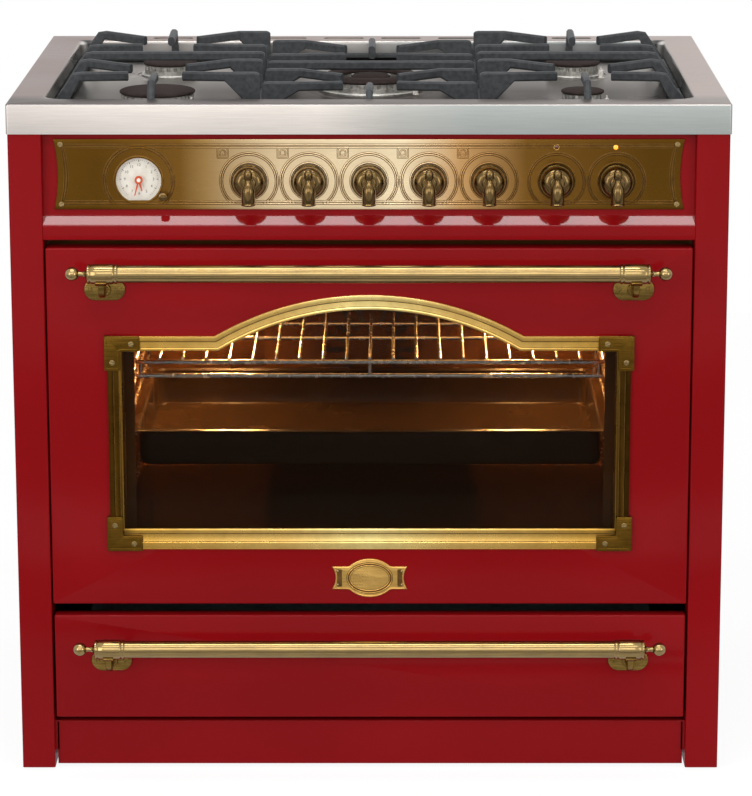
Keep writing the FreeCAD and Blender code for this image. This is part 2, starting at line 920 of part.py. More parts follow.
def make_oven_lamp():
    """Round lamp in the rear wall: ring against the wall and a domed glass."""
    rim = disc(lamp_offset, cavity_back - lamp_ring_depth, lamp_height, lamp_ring_dia, lamp_ring_depth, BACK)
    base = cavity_back - lamp_ring_depth
    half = lamp_glass_dia / 2
    reach, drop = dome_middle(half, lamp_dome)
    crown = base - lamp_dome
    dome = turned([Vector(lamp_offset, base, lamp_height), Vector(lamp_offset + half, base, lamp_height),
                   (Vector(lamp_offset + reach, crown + drop, lamp_height),
                    Vector(lamp_offset, crown, lamp_height))],
                  Vector(lamp_offset, base, lamp_height), BACK)
    save("oven_lamp", joined([rim, dome]))


# Control panel

def spindle_holes(dia, y0, y1):
    """Holes at every knob."""
    places = gas_knob_places + oven_knob_places
    return [disc(x, y0, knob_height, dia, y1 - y0, BACK) for x in places]


def pilot_holes(y0, y1):
    """Holes for the two indicator lamps."""
    return [disc(x, y0, pilot_height, pilot_dia + 2 * seat_gap, y1 - y0, BACK) for x in lamp_places]


def make_fascia():
    """Folded panel: recessed face, sloping ledge, lower lip and its return."""
    outer = [
        (fascia_recess, hob_bottom - seat_gap), (fascia_recess, ledge_top), (ledge_setback, ledge_bottom),
        (ledge_setback, fascia_bottom), (cavity_front - seat_gap, fascia_bottom),
        (cavity_front - seat_gap, fascia_bottom + sheet), (ledge_setback + sheet, fascia_bottom + sheet),
        (ledge_setback + sheet, ledge_bottom - sheet / 2), (fascia_recess + sheet, ledge_top - sheet / 2),
        (fascia_recess + sheet, hob_bottom - seat_gap),
    ]
    face = across(outer, -post_inner, post_inner)
    cuts = spindle_holes(spindle_hole_dia, fascia_recess - overrun, fascia_recess + 2 * overrun)
    cuts += pilot_holes(fascia_recess - overrun, fascia_recess + 2 * overrun)
    cuts.append(disc(clock_place, fascia_recess - overrun, clock_height, dial_dia, 3 * overrun, BACK))
    cuts.append(disc(setting_x, fascia_recess - overrun, setting_height, arbor_sleeve_dia,
                     3 * overrun, BACK))
    save("control_fascia", face.cut(Part.Compound(cuts)))


def plate_outline(inset_side, inset_end, y):
    """Plate outline with ends drawn in between pointed corners."""
    half = plate_half_width - inset_side
    waist = plate_waist - inset_side
    low = plate_bottom + inset_end
    high = plate_top - inset_end
    middle = (low + high) / 2
    return [
        Vector(-half, y, low), Vector(half, y, low),
        (Vector(waist, y, middle), Vector(half, y, high)),
        Vector(-half, y, high),
        (Vector(-waist, y, middle), Vector(-half, y, low)),
    ]


def plate_slab(inset_side, inset_end, y0, y1):
    """Slab of the control plate's outline."""
    return prism(plate_outline(inset_side, inset_end, y0), Vector(0, y1 - y0, 0))


def plate_screw_places():
    """Where the plate's four screws sit."""
    heights = (plate_bottom + plate_screw_inset, plate_top - plate_screw_inset)
    return [(side * plate_screw_x, z) for side in (-1, 1) for z in heights]


def make_plate():
    """Brass plate with raised border line, knob rings, clock rings and burner marks."""
    top = plate_front - plate_relief
    body = plate_slab(0, 0, plate_front, fascia_recess)
    border = plate_slab(plate_line_side, plate_line_end, top, plate_front).cut(
        plate_slab(plate_line_side + plate_line_width, plate_line_end + plate_line_width,
                   top - overrun, plate_front + overrun))
    low_line = plate_bottom + plate_line_end
    seats = [disc(x, top - overrun, z, screw_dia + 2 * seat_gap, plate_relief + overrun, BACK)
             for x, z in plate_screw_places()]
    border = border.cut(Part.Compound(seats))
    window = block(-plate_half_width, plate_half_width, top - overrun, plate_front + overrun,
                   low_line, plate_top - plate_line_end)
    raised = []
    for x in gas_knob_places + oven_knob_places:
        outer = knob_ring_dia
        inner = outer - 2 * (knob_ring_width + plate_line_width)
        for dia in (outer, inner):
            raised.append(ring(x, top, knob_height, dia, dia - 2 * plate_line_width, plate_relief, BACK))
    for dia in (clock_ring_dia, clock_inner_ring_dia):
        raised.append(ring(clock_place, top, clock_height, dia, dia - 2 * plate_line_width,
                           plate_relief, BACK))
    bezel = ring(clock_place, top, clock_height, dial_dia + 2 * plate_line_width, dial_dia,
                 plate_relief, BACK)
    raised.append(bezel)
    raised = [shape.common(window) for shape in raised]
    half = mark_side / 2
    marks = [block(x - mark_offset - half, x - mark_offset + half, top, plate_front,
                   mark_height - half, mark_height + half) for x in gas_knob_places]
    inner_half = half - plate_line_width
    holes = [block(x - mark_offset - inner_half, x - mark_offset + inner_half, top - overrun, plate_front,
                   mark_height - inner_half, mark_height + inner_half) for x in gas_knob_places]
    solid = joined([body, border] + raised + marks).cut(Part.Compound(holes))
    cuts = spindle_holes(spindle_hole_dia, top - overrun, fascia_recess + overrun)
    cuts += pilot_holes(top - overrun, fascia_recess + overrun)
    dial_hole = disc(clock_place, top - overrun, clock_height, dial_dia, 3 * overrun, BACK)
    cuts.append(dial_hole.common(window_of_dial()))
    cuts.append(disc(setting_x, top - overrun, setting_height, setting_shaft_dia + 2 * run_gap, 3 * overrun,
                     BACK))
    save("control_plate", solid.cut(Part.Compound(cuts)))


def window_of_dial():
    """Space above the plate's lower line, which cuts the dial opening flat."""
    return block(-half_width, half_width, -overrun * 2, fascia_recess + 3 * overrun,
                 plate_bottom + plate_line_end + plate_line_width, plate_top)


def slotted_head(x, y, z, dia, rise, angle):
    """Screw head standing on a face at y, with one slot."""
    head = disc(x, y - rise, z, dia, rise, BACK)
    slot = block(x - dia, x + dia, y - rise - overrun, y - rise / 2, z - screw_slot / 2, z + screw_slot / 2)
    slot.rotate(Vector(x, y, z), BACK, angle)
    return head.cut(slot)


def make_plate_screws():
    """Four slotted screws at the plate's ends."""
    screws = [slotted_head(x, plate_front, z, screw_dia, screw_rise, screw_turn_step * count)
              for count, (x, z) in enumerate(plate_screw_places())]
    save("plate_screws", screws)


def make_pilots():
    """Two small domed indicator lamps."""
    lamps = []
    half = pilot_dia / 2
    reach, drop = dome_middle(half, pilot_rise)
    crown = plate_front - pilot_rise
    for x in lamp_places:
        body = disc(x, plate_front, pilot_height, pilot_dia, pilot_depth, BACK)
        dome = turned([Vector(x, plate_front, pilot_height), Vector(x + half, plate_front, pilot_height),
                       (Vector(x + reach, crown + drop, pilot_height), Vector(x, crown, pilot_height))],
                      Vector(x, plate_front, pilot_height), BACK)
        lamps.append(joined([body, dome]))
    save("indicator_lamps", lamps)


def make_clock():
    """Clock case behind the plate with its white dial, two hands and a setting knob."""
    dial_front = fascia_recess + sheet + dial_recess
    case_dia = dial_dia + 2 * plate_line_width
    case = disc(clock_place, fascia_recess + sheet, clock_height, case_dia, clock_depth, BACK)
    hollow = disc(clock_place, fascia_recess, clock_height, dial_dia - 2 * run_gap,
                  dial_front - fascia_recess, BACK)
    tail = block(clock_place, setting_x + setting_dia / 2, fascia_recess + sheet + dial_thickness,
                 fascia_recess + sheet + clock_depth, setting_height - setting_dia / 2,
                 setting_height + setting_dia / 2)
    arbor = disc(clock_place, plate_front, clock_height, arbor_dia,
                 dial_front - plate_front + dial_thickness, BACK)
    arbor_room = disc(setting_x, fascia_recess - overrun, setting_height, setting_shaft_dia + 2 * run_gap,
                      clock_depth, BACK)
    case = joined([joined([case, tail]).cut(hollow), arbor]).cut(arbor_room)
    save("clock_dial", case)
    minute_y = plate_front + hand_spacing
    hour_y = minute_y + hand_thickness + hand_spacing
    save("minute_hand", clock_hand(minute_y, minute_hand_length, hand_rest_angle))
    save("hour_hand", clock_hand(hour_y, hour_hand_length, hour_rest_angle))
    shaft_end = fascia_recess - overrun + clock_depth - 2 * run_gap
    knob_start = plate_front - plate_relief - setting_length
    knob = disc(setting_x, knob_start, setting_height, setting_dia, setting_length - 2 * run_gap, BACK)
    edges = [e for e in knob.Edges if len(e.Vertexes) == 1 and e.CenterOfMass.y < knob_start + run_gap]
    knob = knob.makeFillet(setting_round, edges)
    shaft = disc(setting_x, knob_start + sheet, setting_height, setting_shaft_dia,
                 shaft_end - knob_start - sheet, BACK)
    save("clock_setting_knob", joined([knob, shaft]))


def clock_hand(y, length, angle):
    """Flat tapering hand with a round boss on the arbor."""
    boss = disc(clock_place, y, clock_height, arbor_dia + 2 * hand_width, hand_thickness, BACK)
    half = hand_width / 2
    tip = clock_place + length
    blade = through([(clock_place, clock_height - half), (tip, clock_height - half / 2),
                     (tip + half, clock_height), (tip, clock_height + half / 2),
                     (clock_place, clock_height + half)], y, y + hand_thickness)
    blade.rotate(Vector(clock_place, y, clock_height), BACK, -angle)
    bore = disc(clock_place, y - overrun, clock_height, arbor_dia + 2 * run_gap,
                hand_thickness + 2 * overrun, BACK)
    return joined([boss, blade]).cut(bore)


def knob_solid(x):
    """Turned knob: flange, dome and hub, with a turned lever hanging down across it."""
    y = knob_back
    flange_front = y - flange_thickness
    dome_front = flange_front - dome_rise
    lever_y = plate_front - lever_rise
    mid_r = dome_base_dia / 2 + (dome_top_dia - dome_base_dia) / 2 * dome_middle_share
    body = turned([
        Vector(x, y, knob_height), Vector(x + flange_dia / 2 - run_gap, y, knob_height),
        Vector(x + flange_dia / 2, y - run_gap, knob_height),
        Vector(x + flange_dia / 2, flange_front, knob_height),
        Vector(x + dome_base_dia / 2, flange_front, knob_height),
        (Vector(x + mid_r, flange_front - dome_rise * dome_swell_share, knob_height),
         Vector(x + dome_top_dia / 2, dome_front, knob_height)),
        Vector(x + hub_dia / 2, dome_front, knob_height),
        Vector(x + hub_dia / 2, lever_y, knob_height), Vector(x, lever_y, knob_height),
    ], Vector(x, y, knob_height), BACK)
    tip_r = lever_tip_dia / 2
    bead_r = lever_bead_dia / 2
    points = [
        Vector(x, lever_y, knob_height + lever_tip),
        (Vector(x + tip_r * math.sin(math.pi / 4), lever_y, knob_height + lever_tip - tip_r
                * (1 - math.cos(math.pi / 4))),
         Vector(x + tip_r, lever_y, knob_height + lever_tip - tip_r)),
        Vector(x + tip_r, lever_y, knob_height + lever_neck_top),
        Vector(x + lever_neck_dia / 2, lever_y, knob_height + lever_neck_top),
        Vector(x + lever_neck_dia / 2, lever_y, knob_height + lever_neck_bottom),
        Vector(x + lever_dia / 2, lever_y, knob_height + lever_cone_end),
        Vector(x + lever_dia / 2, lever_y, knob_height + lever_end + lever_bead),
        (Vector(x + bead_r, lever_y, knob_height + lever_end + lever_bead / 2),
         Vector(x + lever_dia / 2, lever_y, knob_height + lever_end)),
        Vector(x, lever_y, knob_height + lever_end),
    ]
    lever = turned(points, Vector(x, lever_y, knob_height), UP)
    bore = disc(x, y - spindle_bore_depth, knob_height, spindle_dia + 2 * run_gap,
                spindle_bore_depth + overrun, BACK)
    return joined([body, lever]).cut(bore)


def make_knobs():
    """Five gas knobs on push spindles and two oven knobs on their switch shafts."""
    for number, x in enumerate(gas_knob_places + oven_knob_places, 1):
        save("control_knob_%d" % number, knob_solid(x))
    for number, x in enumerate(gas_knob_places, 1):
        save("tap_spindle_%d" % number, spindle(x, valve_front + spindle_bore_depth - 2 * run_gap))


def spindle(x, end):
    """Round spindle from the knob's bore back to an end inside its valve."""
    start = knob_back - spindle_bore_depth + run_gap
    return disc(x, start, knob_height, spindle_dia, end - start, BACK)


def make_valves():
    """Five gas taps and two oven switches on the gas rail and the fascia's back."""
    solids = []
    half = valve_width / 2
    low = knob_height - valve_height / 2
    for x in gas_knob_places:
        body = block(x - half, x + half, valve_front, rail_front, low, low + valve_height)
        snout = disc(x, fascia_recess + sheet, knob_height, spindle_hole_dia, valve_front - fascia_recess
                     - sheet, BACK)
        outlet = disc(x, rail_front - half, low + valve_height, valve_outlet_dia, valve_outlet_rise, UP)
        bore = disc(x, fascia_recess, knob_height, spindle_dia + 2 * run_gap, valve_front
                    + spindle_bore_depth + knob_travel + seat_gap - fascia_recess, BACK)
        solids.append(joined([body, snout, outlet]).cut(bore))
    for x in oven_knob_places:
        body = block(x - valve_width, x + valve_width, fascia_recess + sheet, rail_front - half,
                     knob_height - valve_width, knob_height + valve_width)
        shaft = spindle(x, fascia_recess + sheet + overrun)
        solids.append(joined([body, shaft]))
    save("control_valves", solids)


def make_gas_rail():
    """Square gas rail behind the taps, bent pipe to the back and threaded inlet."""
    half = rail_side / 2
    left = gas_knob_places[0] - valve_width
    right = gas_knob_places[-1] + valve_width
    rail = block(left, right, rail_front, rail_front + rail_side, knob_height - half, knob_height + half)
    rail = rail.cut(block(left + fine_sheet, right - fine_sheet, rail_front + fine_sheet,
                          rail_front + rail_side - fine_sheet, knob_height - half + fine_sheet,
                          knob_height + half - fine_sheet))
    bend_x = rail_right - pipe_bend
    bend_y = rail_centre + pipe_bend
    straight = rod(Vector(right, rail_centre, knob_height), Vector(bend_x, rail_centre, knob_height),
                   pipe_dia)
    torus = Part.makeTorus(pipe_bend, pipe_dia / 2, Vector(bend_x, bend_y, knob_height), UP)
    quarter = torus.common(block(bend_x, rail_right + pipe_dia, rail_centre - pipe_dia, bend_y,
                                 knob_height - pipe_dia, knob_height + pipe_dia))
    run = rod(Vector(rail_right, bend_y, knob_height), Vector(rail_right, cooker_depth + sheet, knob_height),
              pipe_dia)
    nut = hexagon(rail_right, cooker_depth + seat_gap, knob_height, inlet_nut_flats, inlet_nut_length, BACK)
    stub = disc(rail_right, cooker_depth + inlet_nut_length, knob_height, inlet_dia,
                inlet_reach - inlet_nut_length, BACK)
    save("gas_rail", joined([rail, straight, quarter, run, nut, stub]))


# Hob

def burner_list():
    """Burner places with the wok burner last."""
    return list(burners.values()) + [wok_place + (wok_dia,)]


def make_hob():
    """Pressed hob tray: flat border, front band, basin and rear vent slots."""
    half = half_width + hob_overhang
    y0 = -hob_overhang
    y1 = cooker_depth
    shell = block(-half, half, y0, y1, hob_bottom, hob_height)
    shell = shell.cut(block(-half + sheet, half - sheet, y0 + sheet, y1 - sheet, hob_bottom - overrun,
                            hob_height - sheet))
    # The skirt stands on the top edges of the side panels.
    basin = rounded_plate(-basin_half, basin_half, basin_front, basin_back, basin_floor,
                          hob_height + overrun, basin_corner)
    pan = rounded_plate(-basin_half - fine_sheet, basin_half + fine_sheet, basin_front - fine_sheet,
                        basin_back + fine_sheet, basin_floor - sheet, hob_height - sheet / 2,
                        basin_corner + fine_sheet)
    tray = joined([shell, pan]).cut(basin)
    cuts = []
    for x, y, dia in burner_list():
        cuts.append(disc(x, y, basin_floor - 2 * overrun, mixer_dia + 2 * seat_gap, 4 * overrun, UP))
        cuts.append(disc(*plug_place(x, y, dia), basin_floor - 2 * overrun, plug_dia + 2 * seat_gap,
                         4 * overrun, UP))
    first = -vent_pitch * (vent_count - 1) / 2
    for count in range(vent_count):
        x = first + vent_pitch * count
        cuts.append(rounded_plate(x - vent_length / 2, x + vent_length / 2, vent_centre - vent_depth / 2,
                                  vent_centre + vent_depth / 2, hob_height - overrun, hob_height + overrun,
                                  vent_depth / 2 - run_gap))
    outlet_half = vent_pitch * vent_count / 2 - vent_pitch
    cuts.append(block(-outlet_half, outlet_half, cooker_depth - 2 * sheet, cooker_depth + overrun,
                      hob_height - sheet - rear_outlet_height, hob_height - sheet))
    save("hob_top", tray.cut(Part.Compound(cuts)))


def plug_place(x, y, dia):
    """Spark plug beside a burner, turned away from the front."""
    reach = dia / 2 + burner_collar + plug_gap
    angle = math.radians(plug_turn)
    return x + reach * math.cos(angle), y - reach * math.sin(angle)


def port_notches(x, y, dia, z):
    """Flame port notches round a burner crown."""
    count = int(math.pi * dia / port_pitch)
    notches = []
    for step in range(count):
        notch = block(x + dia / 2 - port_width, x + dia / 2 + overrun, y - port_width / 2,
                      y + port_width / 2, z, z + port_height)
        notch.rotate(Vector(x, y, z), UP, 360 * step / count)
        notches.append(notch)
    return Part.Compound(notches)


def burner_body(x, y, dia):
    """Aluminium burner: mixing tube, collar on the tray and notched crown."""
    crown_top = cap_top - cap_thickness
    crown_dia = dia - 2 * cap_overhang
    base = basin_floor
    body = joined([
        disc(x, y, base - mixer_drop, mixer_dia, mixer_drop + burner_collar_height, UP),
        disc(x, y, base, crown_dia + 2 * burner_collar, burner_collar_height, UP),
        disc(x, y, base, crown_dia, crown_top - base, UP),
    ])
    return body.cut(port_notches(x, y, crown_dia, crown_top - port_height - port_width))


def wok_body(x, y, dia):
    """Wok burner: a wide outer crown ring and a small inner crown on one dish."""
    crown_top = cap_top - cap_thickness
    crown_dia = dia - 2 * cap_overhang
    ring_inner = wok_inner_cap + 2 * wok_slot
    base = basin_floor
    body = joined([
        disc(x, y, base - mixer_drop, mixer_dia, mixer_drop + burner_collar_height, UP),
        disc(x, y, base, crown_dia + 2 * burner_collar, burner_collar_height, UP),
        ring(x, y, base + burner_collar_height, crown_dia, ring_inner,
             crown_top - base - burner_collar_height, UP),
        disc(x, y, base, wok_inner_cap - 2 * cap_overhang, crown_top - base, UP),
    ])
    notch_z = crown_top - port_height - port_width
    body = body.cut(port_notches(x, y, crown_dia, notch_z))
    return body.cut(port_notches(x, y, wok_inner_cap - 2 * cap_overhang, notch_z))


def domed_cap(x, y, dia):
    """Enamelled cap with a slightly domed top."""
    half = dia / 2
    low = cap_top - cap_thickness
    rise = cap_thickness / 2
    reach, drop = dome_middle(half, rise)
    return turned([
        Vector(x, y, low), Vector(x + half - cap_overhang / 2, y, low), Vector(x + half, y, cap_top - rise),
        (Vector(x + reach, y, cap_top - drop), Vector(x, y, cap_top)),
    ], Vector(x, y, low), UP)


def ring_cap(x, y, dia, inner_dia):
    """Ring cap of the wok burner, with sloping edges."""
    low = cap_top - cap_thickness
    half = dia / 2
    inner = inner_dia / 2
    edge = low + cap_thickness / 2
    slope = cap_thickness
    return turned([
        Vector(x + inner, y, low), Vector(x + half - cap_overhang / 2, y, low), Vector(x + half, y, edge),
        Vector(x + half - slope, y, cap_top), Vector(x + inner + slope / 2, y, cap_top),
        Vector(x + inner, y, edge),
    ], Vector(x, y, low), UP)


def make_burners():
    """Burner bodies, caps and spark plugs."""
    bodies = []
    caps = []
    for x, y, dia in burners.values():
        bodies.append(burner_body(x, y, dia))
        caps.append(domed_cap(x, y, dia))
    wx, wy = wok_place
    bodies.append(wok_body(wx, wy, wok_dia))
    caps.append(ring_cap(wx, wy, wok_dia, wok_inner_cap + 2 * wok_slot))
    caps.append(domed_cap(wx, wy, wok_inner_cap))
    save("burner_bodies", bodies)
    save("burner_caps", caps)
    plugs = []
    for x, y, dia in burner_list():
        px, py = plug_place(x, y, dia)
        low = basin_floor - mixer_drop / 2
        crown_top = cap_top - cap_thickness
        plugs.append(joined([
            disc(px, py, low, plug_dia, crown_top - plug_tip - low, UP),
            disc(px, py, basin_floor, plug_dia + plug_tip_dia, plug_tip_dia, UP),
            disc(px, py, crown_top - plug_tip, plug_tip_dia, plug_tip, UP),
        ]))
    save("spark_plugs", plugs)


def finger_end(x, row, centre_x, centre_y, z_top):
    """Plan view of a finger's bent end: it leans towards its burner and dips at the tip."""
    side = 1 if x > centre_x else -1
    kink_x = centre_x + side * finger_kink
    tip_x = centre_x + side * finger_tip
    tip_y = row + (centre_y - row) * finger_lean_share
    half = bar_width / 2
    low = z_top - bar_height
    plan = [(kink_x, row - half), (kink_x, row + half), (tip_x, tip_y + half), (tip_x, tip_y - half)]
    body = upright(plan, low - finger_tip_drop, z_top)
    # The top slopes down a little to the tip.
    wedge = [(kink_x, z_top), (tip_x, z_top - finger_tip_drop), (tip_x - side * overrun, z_top + overrun),
             (kink_x, z_top + overrun)]
    under = [(kink_x, low), (tip_x, low - finger_tip_drop), (tip_x - side * overrun, low - 2 * overrun),
             (kink_x, low - 2 * overrun)]
    reach = (row - cooker_depth, row + cooker_depth)
    body = body.cut(through(wedge, *reach))
    return body.cut(through(under, *reach))


def gusset_finger(x_wall, x_kink, row, z_top, low):
    """Upright plate that starts tall at the division and slopes up under the bar."""
    side = 1 if x_wall > x_kink else -1
    run = x_wall - side * gusset_run
    under = z_top - bar_height
    points = [(x_wall, low), (x_wall, z_top), (x_kink, z_top), (x_kink, under), (run, under),
              (x_wall - side * support_foot_side, low)]
    return through(points, row - bar_width / 2, row + bar_width / 2)


def kinked_finger(x_rail, x_kink, row, z_top, rail_top):
    """Round-backed finger that climbs from the outer rail and runs level to its kink."""
    side = 1 if x_rail > x_kink else -1
    shoulder = x_rail - side * outer_kink
    under = z_top - bar_height
    inner = x_rail - side * base_rail_width
    points = [(x_rail, rail_top - base_rail_height), (x_rail, rail_top), (shoulder, z_top), (x_kink, z_top),
              (x_kink, under), (shoulder - side * bar_height / 3, under),
              (inner, rail_top - base_rail_height)]
    return through(points, row - bar_width / 2, row + bar_width / 2)


def long_finger(x, y_rail, inward, z_top, rail_top):
    """Finger that climbs from the front or rear rail towards a burner."""
    under = z_top - bar_height
    low = rail_top - base_rail_height
    shoulder = y_rail + inward * outer_kink
    tip = y_rail + inward * long_finger_length
    points = [(y_rail, low), (y_rail, rail_top), (shoulder, z_top), (tip, z_top - finger_tip_drop),
              (tip, under - finger_tip_drop), (shoulder + inward * bar_height / 3, under),
              (y_rail + inward * base_rail_width, low)]
    return across(points, x - bar_width / 2, x + bar_width / 2)


def pan_support(left, right, centre_x, z_top, left_open, right_open):
    """Cast pan support: base rail, feet, cross bar and fingers round two burner places."""
    low = basin_floor + base_rail_clear
    rail_top = low + base_rail_height
    half = bar_width / 2
    pieces = []
    for x0, is_open in ((left, left_open), (right, right_open)):
        side = 1 if x0 == left else -1
        width = base_rail_width if is_open else cross_rail_width
        edges = sorted((x0, x0 + side * width))
        pieces.append(block(edges[0], edges[1], support_front, support_rear, low, rail_top))
    for y0 in (support_front, support_rear - cross_rail_width):
        pieces.append(block(left, right, y0, y0 + cross_rail_width, low, rail_top))
    for x0 in (left, right - support_foot_side):
        for y0 in (support_front, support_rear - support_foot_side):
            pieces.append(block(x0, x0 + support_foot_side, y0, y0 + support_foot_side, basin_floor,
                                rail_top))
    under = z_top - bar_height
    pieces.append(block(left + outer_kink, right - outer_kink, cross_bar_row - half, cross_bar_row + half,
                        under, z_top))
    rows = [(row, True) for row in finger_rows] + [(cross_bar_row, False)]
    for row, bent in rows:
        for wall, is_open in ((left, left_open), (right, right_open)):
            side = 1 if wall > centre_x else -1
            kink = centre_x + side * finger_kink
            if is_open:
                pieces.append(kinked_finger(wall, kink, row, z_top, rail_top))
            else:
                reach = min(abs(wall - centre_x) - 2 * bar_width, finger_kink)
                kink = centre_x + side * reach
                pieces.append(gusset_finger(wall, kink, row, z_top, low))
            if bent:
                centre_y = min(finger_centres, key=lambda y: abs(y - row))
                pieces.append(finger_end(wall, row, centre_x, centre_y, z_top))
    pieces.append(long_finger(centre_x, support_front, 1, z_top, rail_top))
    pieces.append(long_finger(centre_x, support_rear, -1, z_top, rail_top))
    gap = support_wall_gap
    room = rounded_plate(-basin_half + gap, basin_half - gap, basin_front + gap, basin_back - gap,
                         basin_floor, hob_height + hob_band, basin_corner - gap)
    return joined(pieces).common(room)


def make_supports():
    """Left, middle and right pan supports; the middle one is lower."""
    inner = support_division + support_division_gap / 2
    outer = support_outer_half_width
    centre = burners["front_right"][0]
    save("pan_support_right", pan_support(inner, outer, centre, support_top, False, True))
    save("pan_support_left", pan_support(-outer, -inner, -centre, support_top, True, False))
    middle = support_division - support_division_gap / 2
    save("pan_support_middle", pan_support(-middle, middle, 0, wok_support_top, False, False))


# Oven door

def arched_outline(half, low, shoulder, radius, y):
    """Window outline: straight sides and shoulders with an arch between them."""
    kink = math.sqrt(radius ** 2 - (shoulder - arch_centre_height) ** 2)
    return [
        Vector(-half, y, low), Vector(half, y, low), Vector(half, y, shoulder), Vector(kink, y, shoulder),
        (Vector(0, y, arch_centre_height + radius), Vector(-kink, y, shoulder)),
        Vector(-half, y, shoulder),
    ]


def arched_slab(half, low, shoulder, radius, y0, y1):
    """Slab of an arched outline."""
    return prism(arched_outline(half, low, shoulder, radius, y0), Vector(0, y1 - y0, 0))


def make_door_panel():
    """Outer door skin: face with an arched window hole and folded edges."""
    outer = block(-door_half, door_half, 0, door_flange, door_bottom, door_top)
    inner = block(-door_half + door_panel_sheet, door_half - door_panel_sheet, door_panel_sheet,
                  door_flange + overrun, door_bottom + door_panel_sheet, door_top - door_panel_sheet)
    hole = arched_slab(frame_inner_half + hole_margin, frame_inner_bottom - hole_margin,
                       frame_inner_shoulder + hole_margin, frame_inner_radius + hole_margin,
                       -overrun, door_panel_sheet + overrun)
    skin = outer.cut(inner).cut(hole)
    for notch in hinge_notches(hinge_setback - hinge_pin_dia):
        skin = skin.cut(notch)
    save("door_panel", skin)


def hinge_notches(start):
    """Notches in the door's lower edge that let the fixed hinge arms swing through."""
    half = hinge_ear_gap / 2
    notch = block(hinge_place - half, hinge_place + half, start, inner_frame_back + overrun,
                  door_bottom - overrun, hinge_height + hinge_pin_dia / 2 + 2 * seat_gap)
    return both_sides(notch)


def make_door_glass():
    """Outer pane behind the skin and inner pane in the liner."""
    half = frame_half_width
    top = arch_centre_height + frame_arch_radius
    outer = block(-half, half, glass_front, glass_front + outer_glass, frame_bottom, top)
    save("door_outer_glass", outer)
    lap = inner_glass_rebate - seat_gap
    inner = block(-inner_window_half_width - lap, inner_window_half_width + lap,
                  inner_frame_back - sheet - inner_glass, inner_frame_back - sheet,
                  inner_window_bottom - lap, inner_window_top + lap)
    save("door_inner_glass", inner)


def make_inner_frame():
    """Enamelled door liner: a tray with a window opening, glass ledge and four glass clips."""
    half = door_half - inner_frame_lift
    low = door_bottom + inner_frame_lift
    high = door_top - inner_frame_lift
    outer = block(-half, half, inner_frame_front, inner_frame_back, low, high)
    hollow = block(-half + sheet, half - sheet, inner_frame_front - overrun, inner_frame_back - sheet,
                   low + sheet, high - sheet)
    window = block(-inner_window_half_width, inner_window_half_width, inner_frame_back - sheet - overrun,
                   inner_frame_back + overrun, inner_window_bottom, inner_window_top)
    tray = outer.cut(hollow).cut(window)
    ledge = inner_glass_rebate
    wall = sheet
    curb_outer = block(-inner_window_half_width - ledge - wall, inner_window_half_width + ledge + wall,
                       inner_frame_front, inner_frame_back - sheet, inner_window_bottom - ledge - wall,
                       inner_window_top + ledge + wall)
    curb_inner = block(-inner_window_half_width - ledge, inner_window_half_width + ledge,
                       inner_frame_front - overrun, inner_frame_back + overrun,
                       inner_window_bottom - ledge, inner_window_top + ledge)
    curb = curb_outer.cut(curb_inner)
    spacer_front = glass_front + outer_glass + seat_gap
    spacers = []
    for z in (frame_bottom + ledge / 2, frame_shoulder + ledge):
        spacers += both_sides(block(frame_half_width - ledge, frame_half_width - ledge / 2, spacer_front,
                                    inner_frame_back - sheet, z, z + ledge))
    posts = []
    for z in (low, high - ledge):
        posts += both_sides(block(half - liner_post_inset, half - liner_post_inset + ledge,
                                  door_panel_sheet, inner_frame_back - sheet / 2, z, z + ledge))
    liner = joined([tray, curb] + spacers + posts)
    for notch in hinge_notches(inner_frame_front - overrun):
        liner = liner.cut(notch)
    save("door_inner_frame", liner)


def make_window_frame():
    """Brass frame over the window with a raised outer lip."""
    def band(inset_side, inset_top, inset_bottom, y0, y1):
        return arched_slab(frame_half_width - inset_side, frame_bottom + inset_bottom,
                           frame_shoulder - inset_top, frame_arch_radius - inset_top, y0, y1)
    hole = band(frame_side_strip, frame_top_strip, frame_bottom_strip, -frame_rise - overrun, overrun)
    flat = band(0, 0, 0, frame_lip_rise - frame_rise, 0).cut(hole)
    lip = band(0, 0, 0, -frame_rise, frame_lip_rise - frame_rise).cut(
        band(frame_lip, frame_lip, frame_lip, -frame_rise - overrun, overrun))
    save("window_frame", joined([flat, lip]))


def corner_piece(z_corner, direction):
    """Right-hand L-shaped corner that wraps the frame's corner."""
    x = corner_half_width
    z = z_corner
    d = direction
    inner_x = x - corner_leg
    points = [(x, z), (x, z + d * corner_leg), (x - corner_band, z + d * corner_leg),
              (x - corner_band, z + d * corner_band), (inner_x, z + d * corner_band), (inner_x, z)]
    plate = through(points, -frame_rise - corner_thickness, -frame_rise)
    lip_depth = corner_half_width - frame_half_width
    side = block(x - lip_depth + seat_gap, x, -frame_rise, 0, min(z, z + d * corner_leg),
                 max(z, z + d * corner_leg))
    return joined([plate, side])


def corner_screw_places():
    """Two screws on each frame corner of the right-hand side."""
    near = corner_screw_inset
    far = corner_screw_far
    places = []
    for z, d in ((corner_top, -1), (corner_bottom, 1)):
        places.append((corner_half_width - far, z + d * near))
        places.append((corner_half_width - near, z + d * far))
    return places


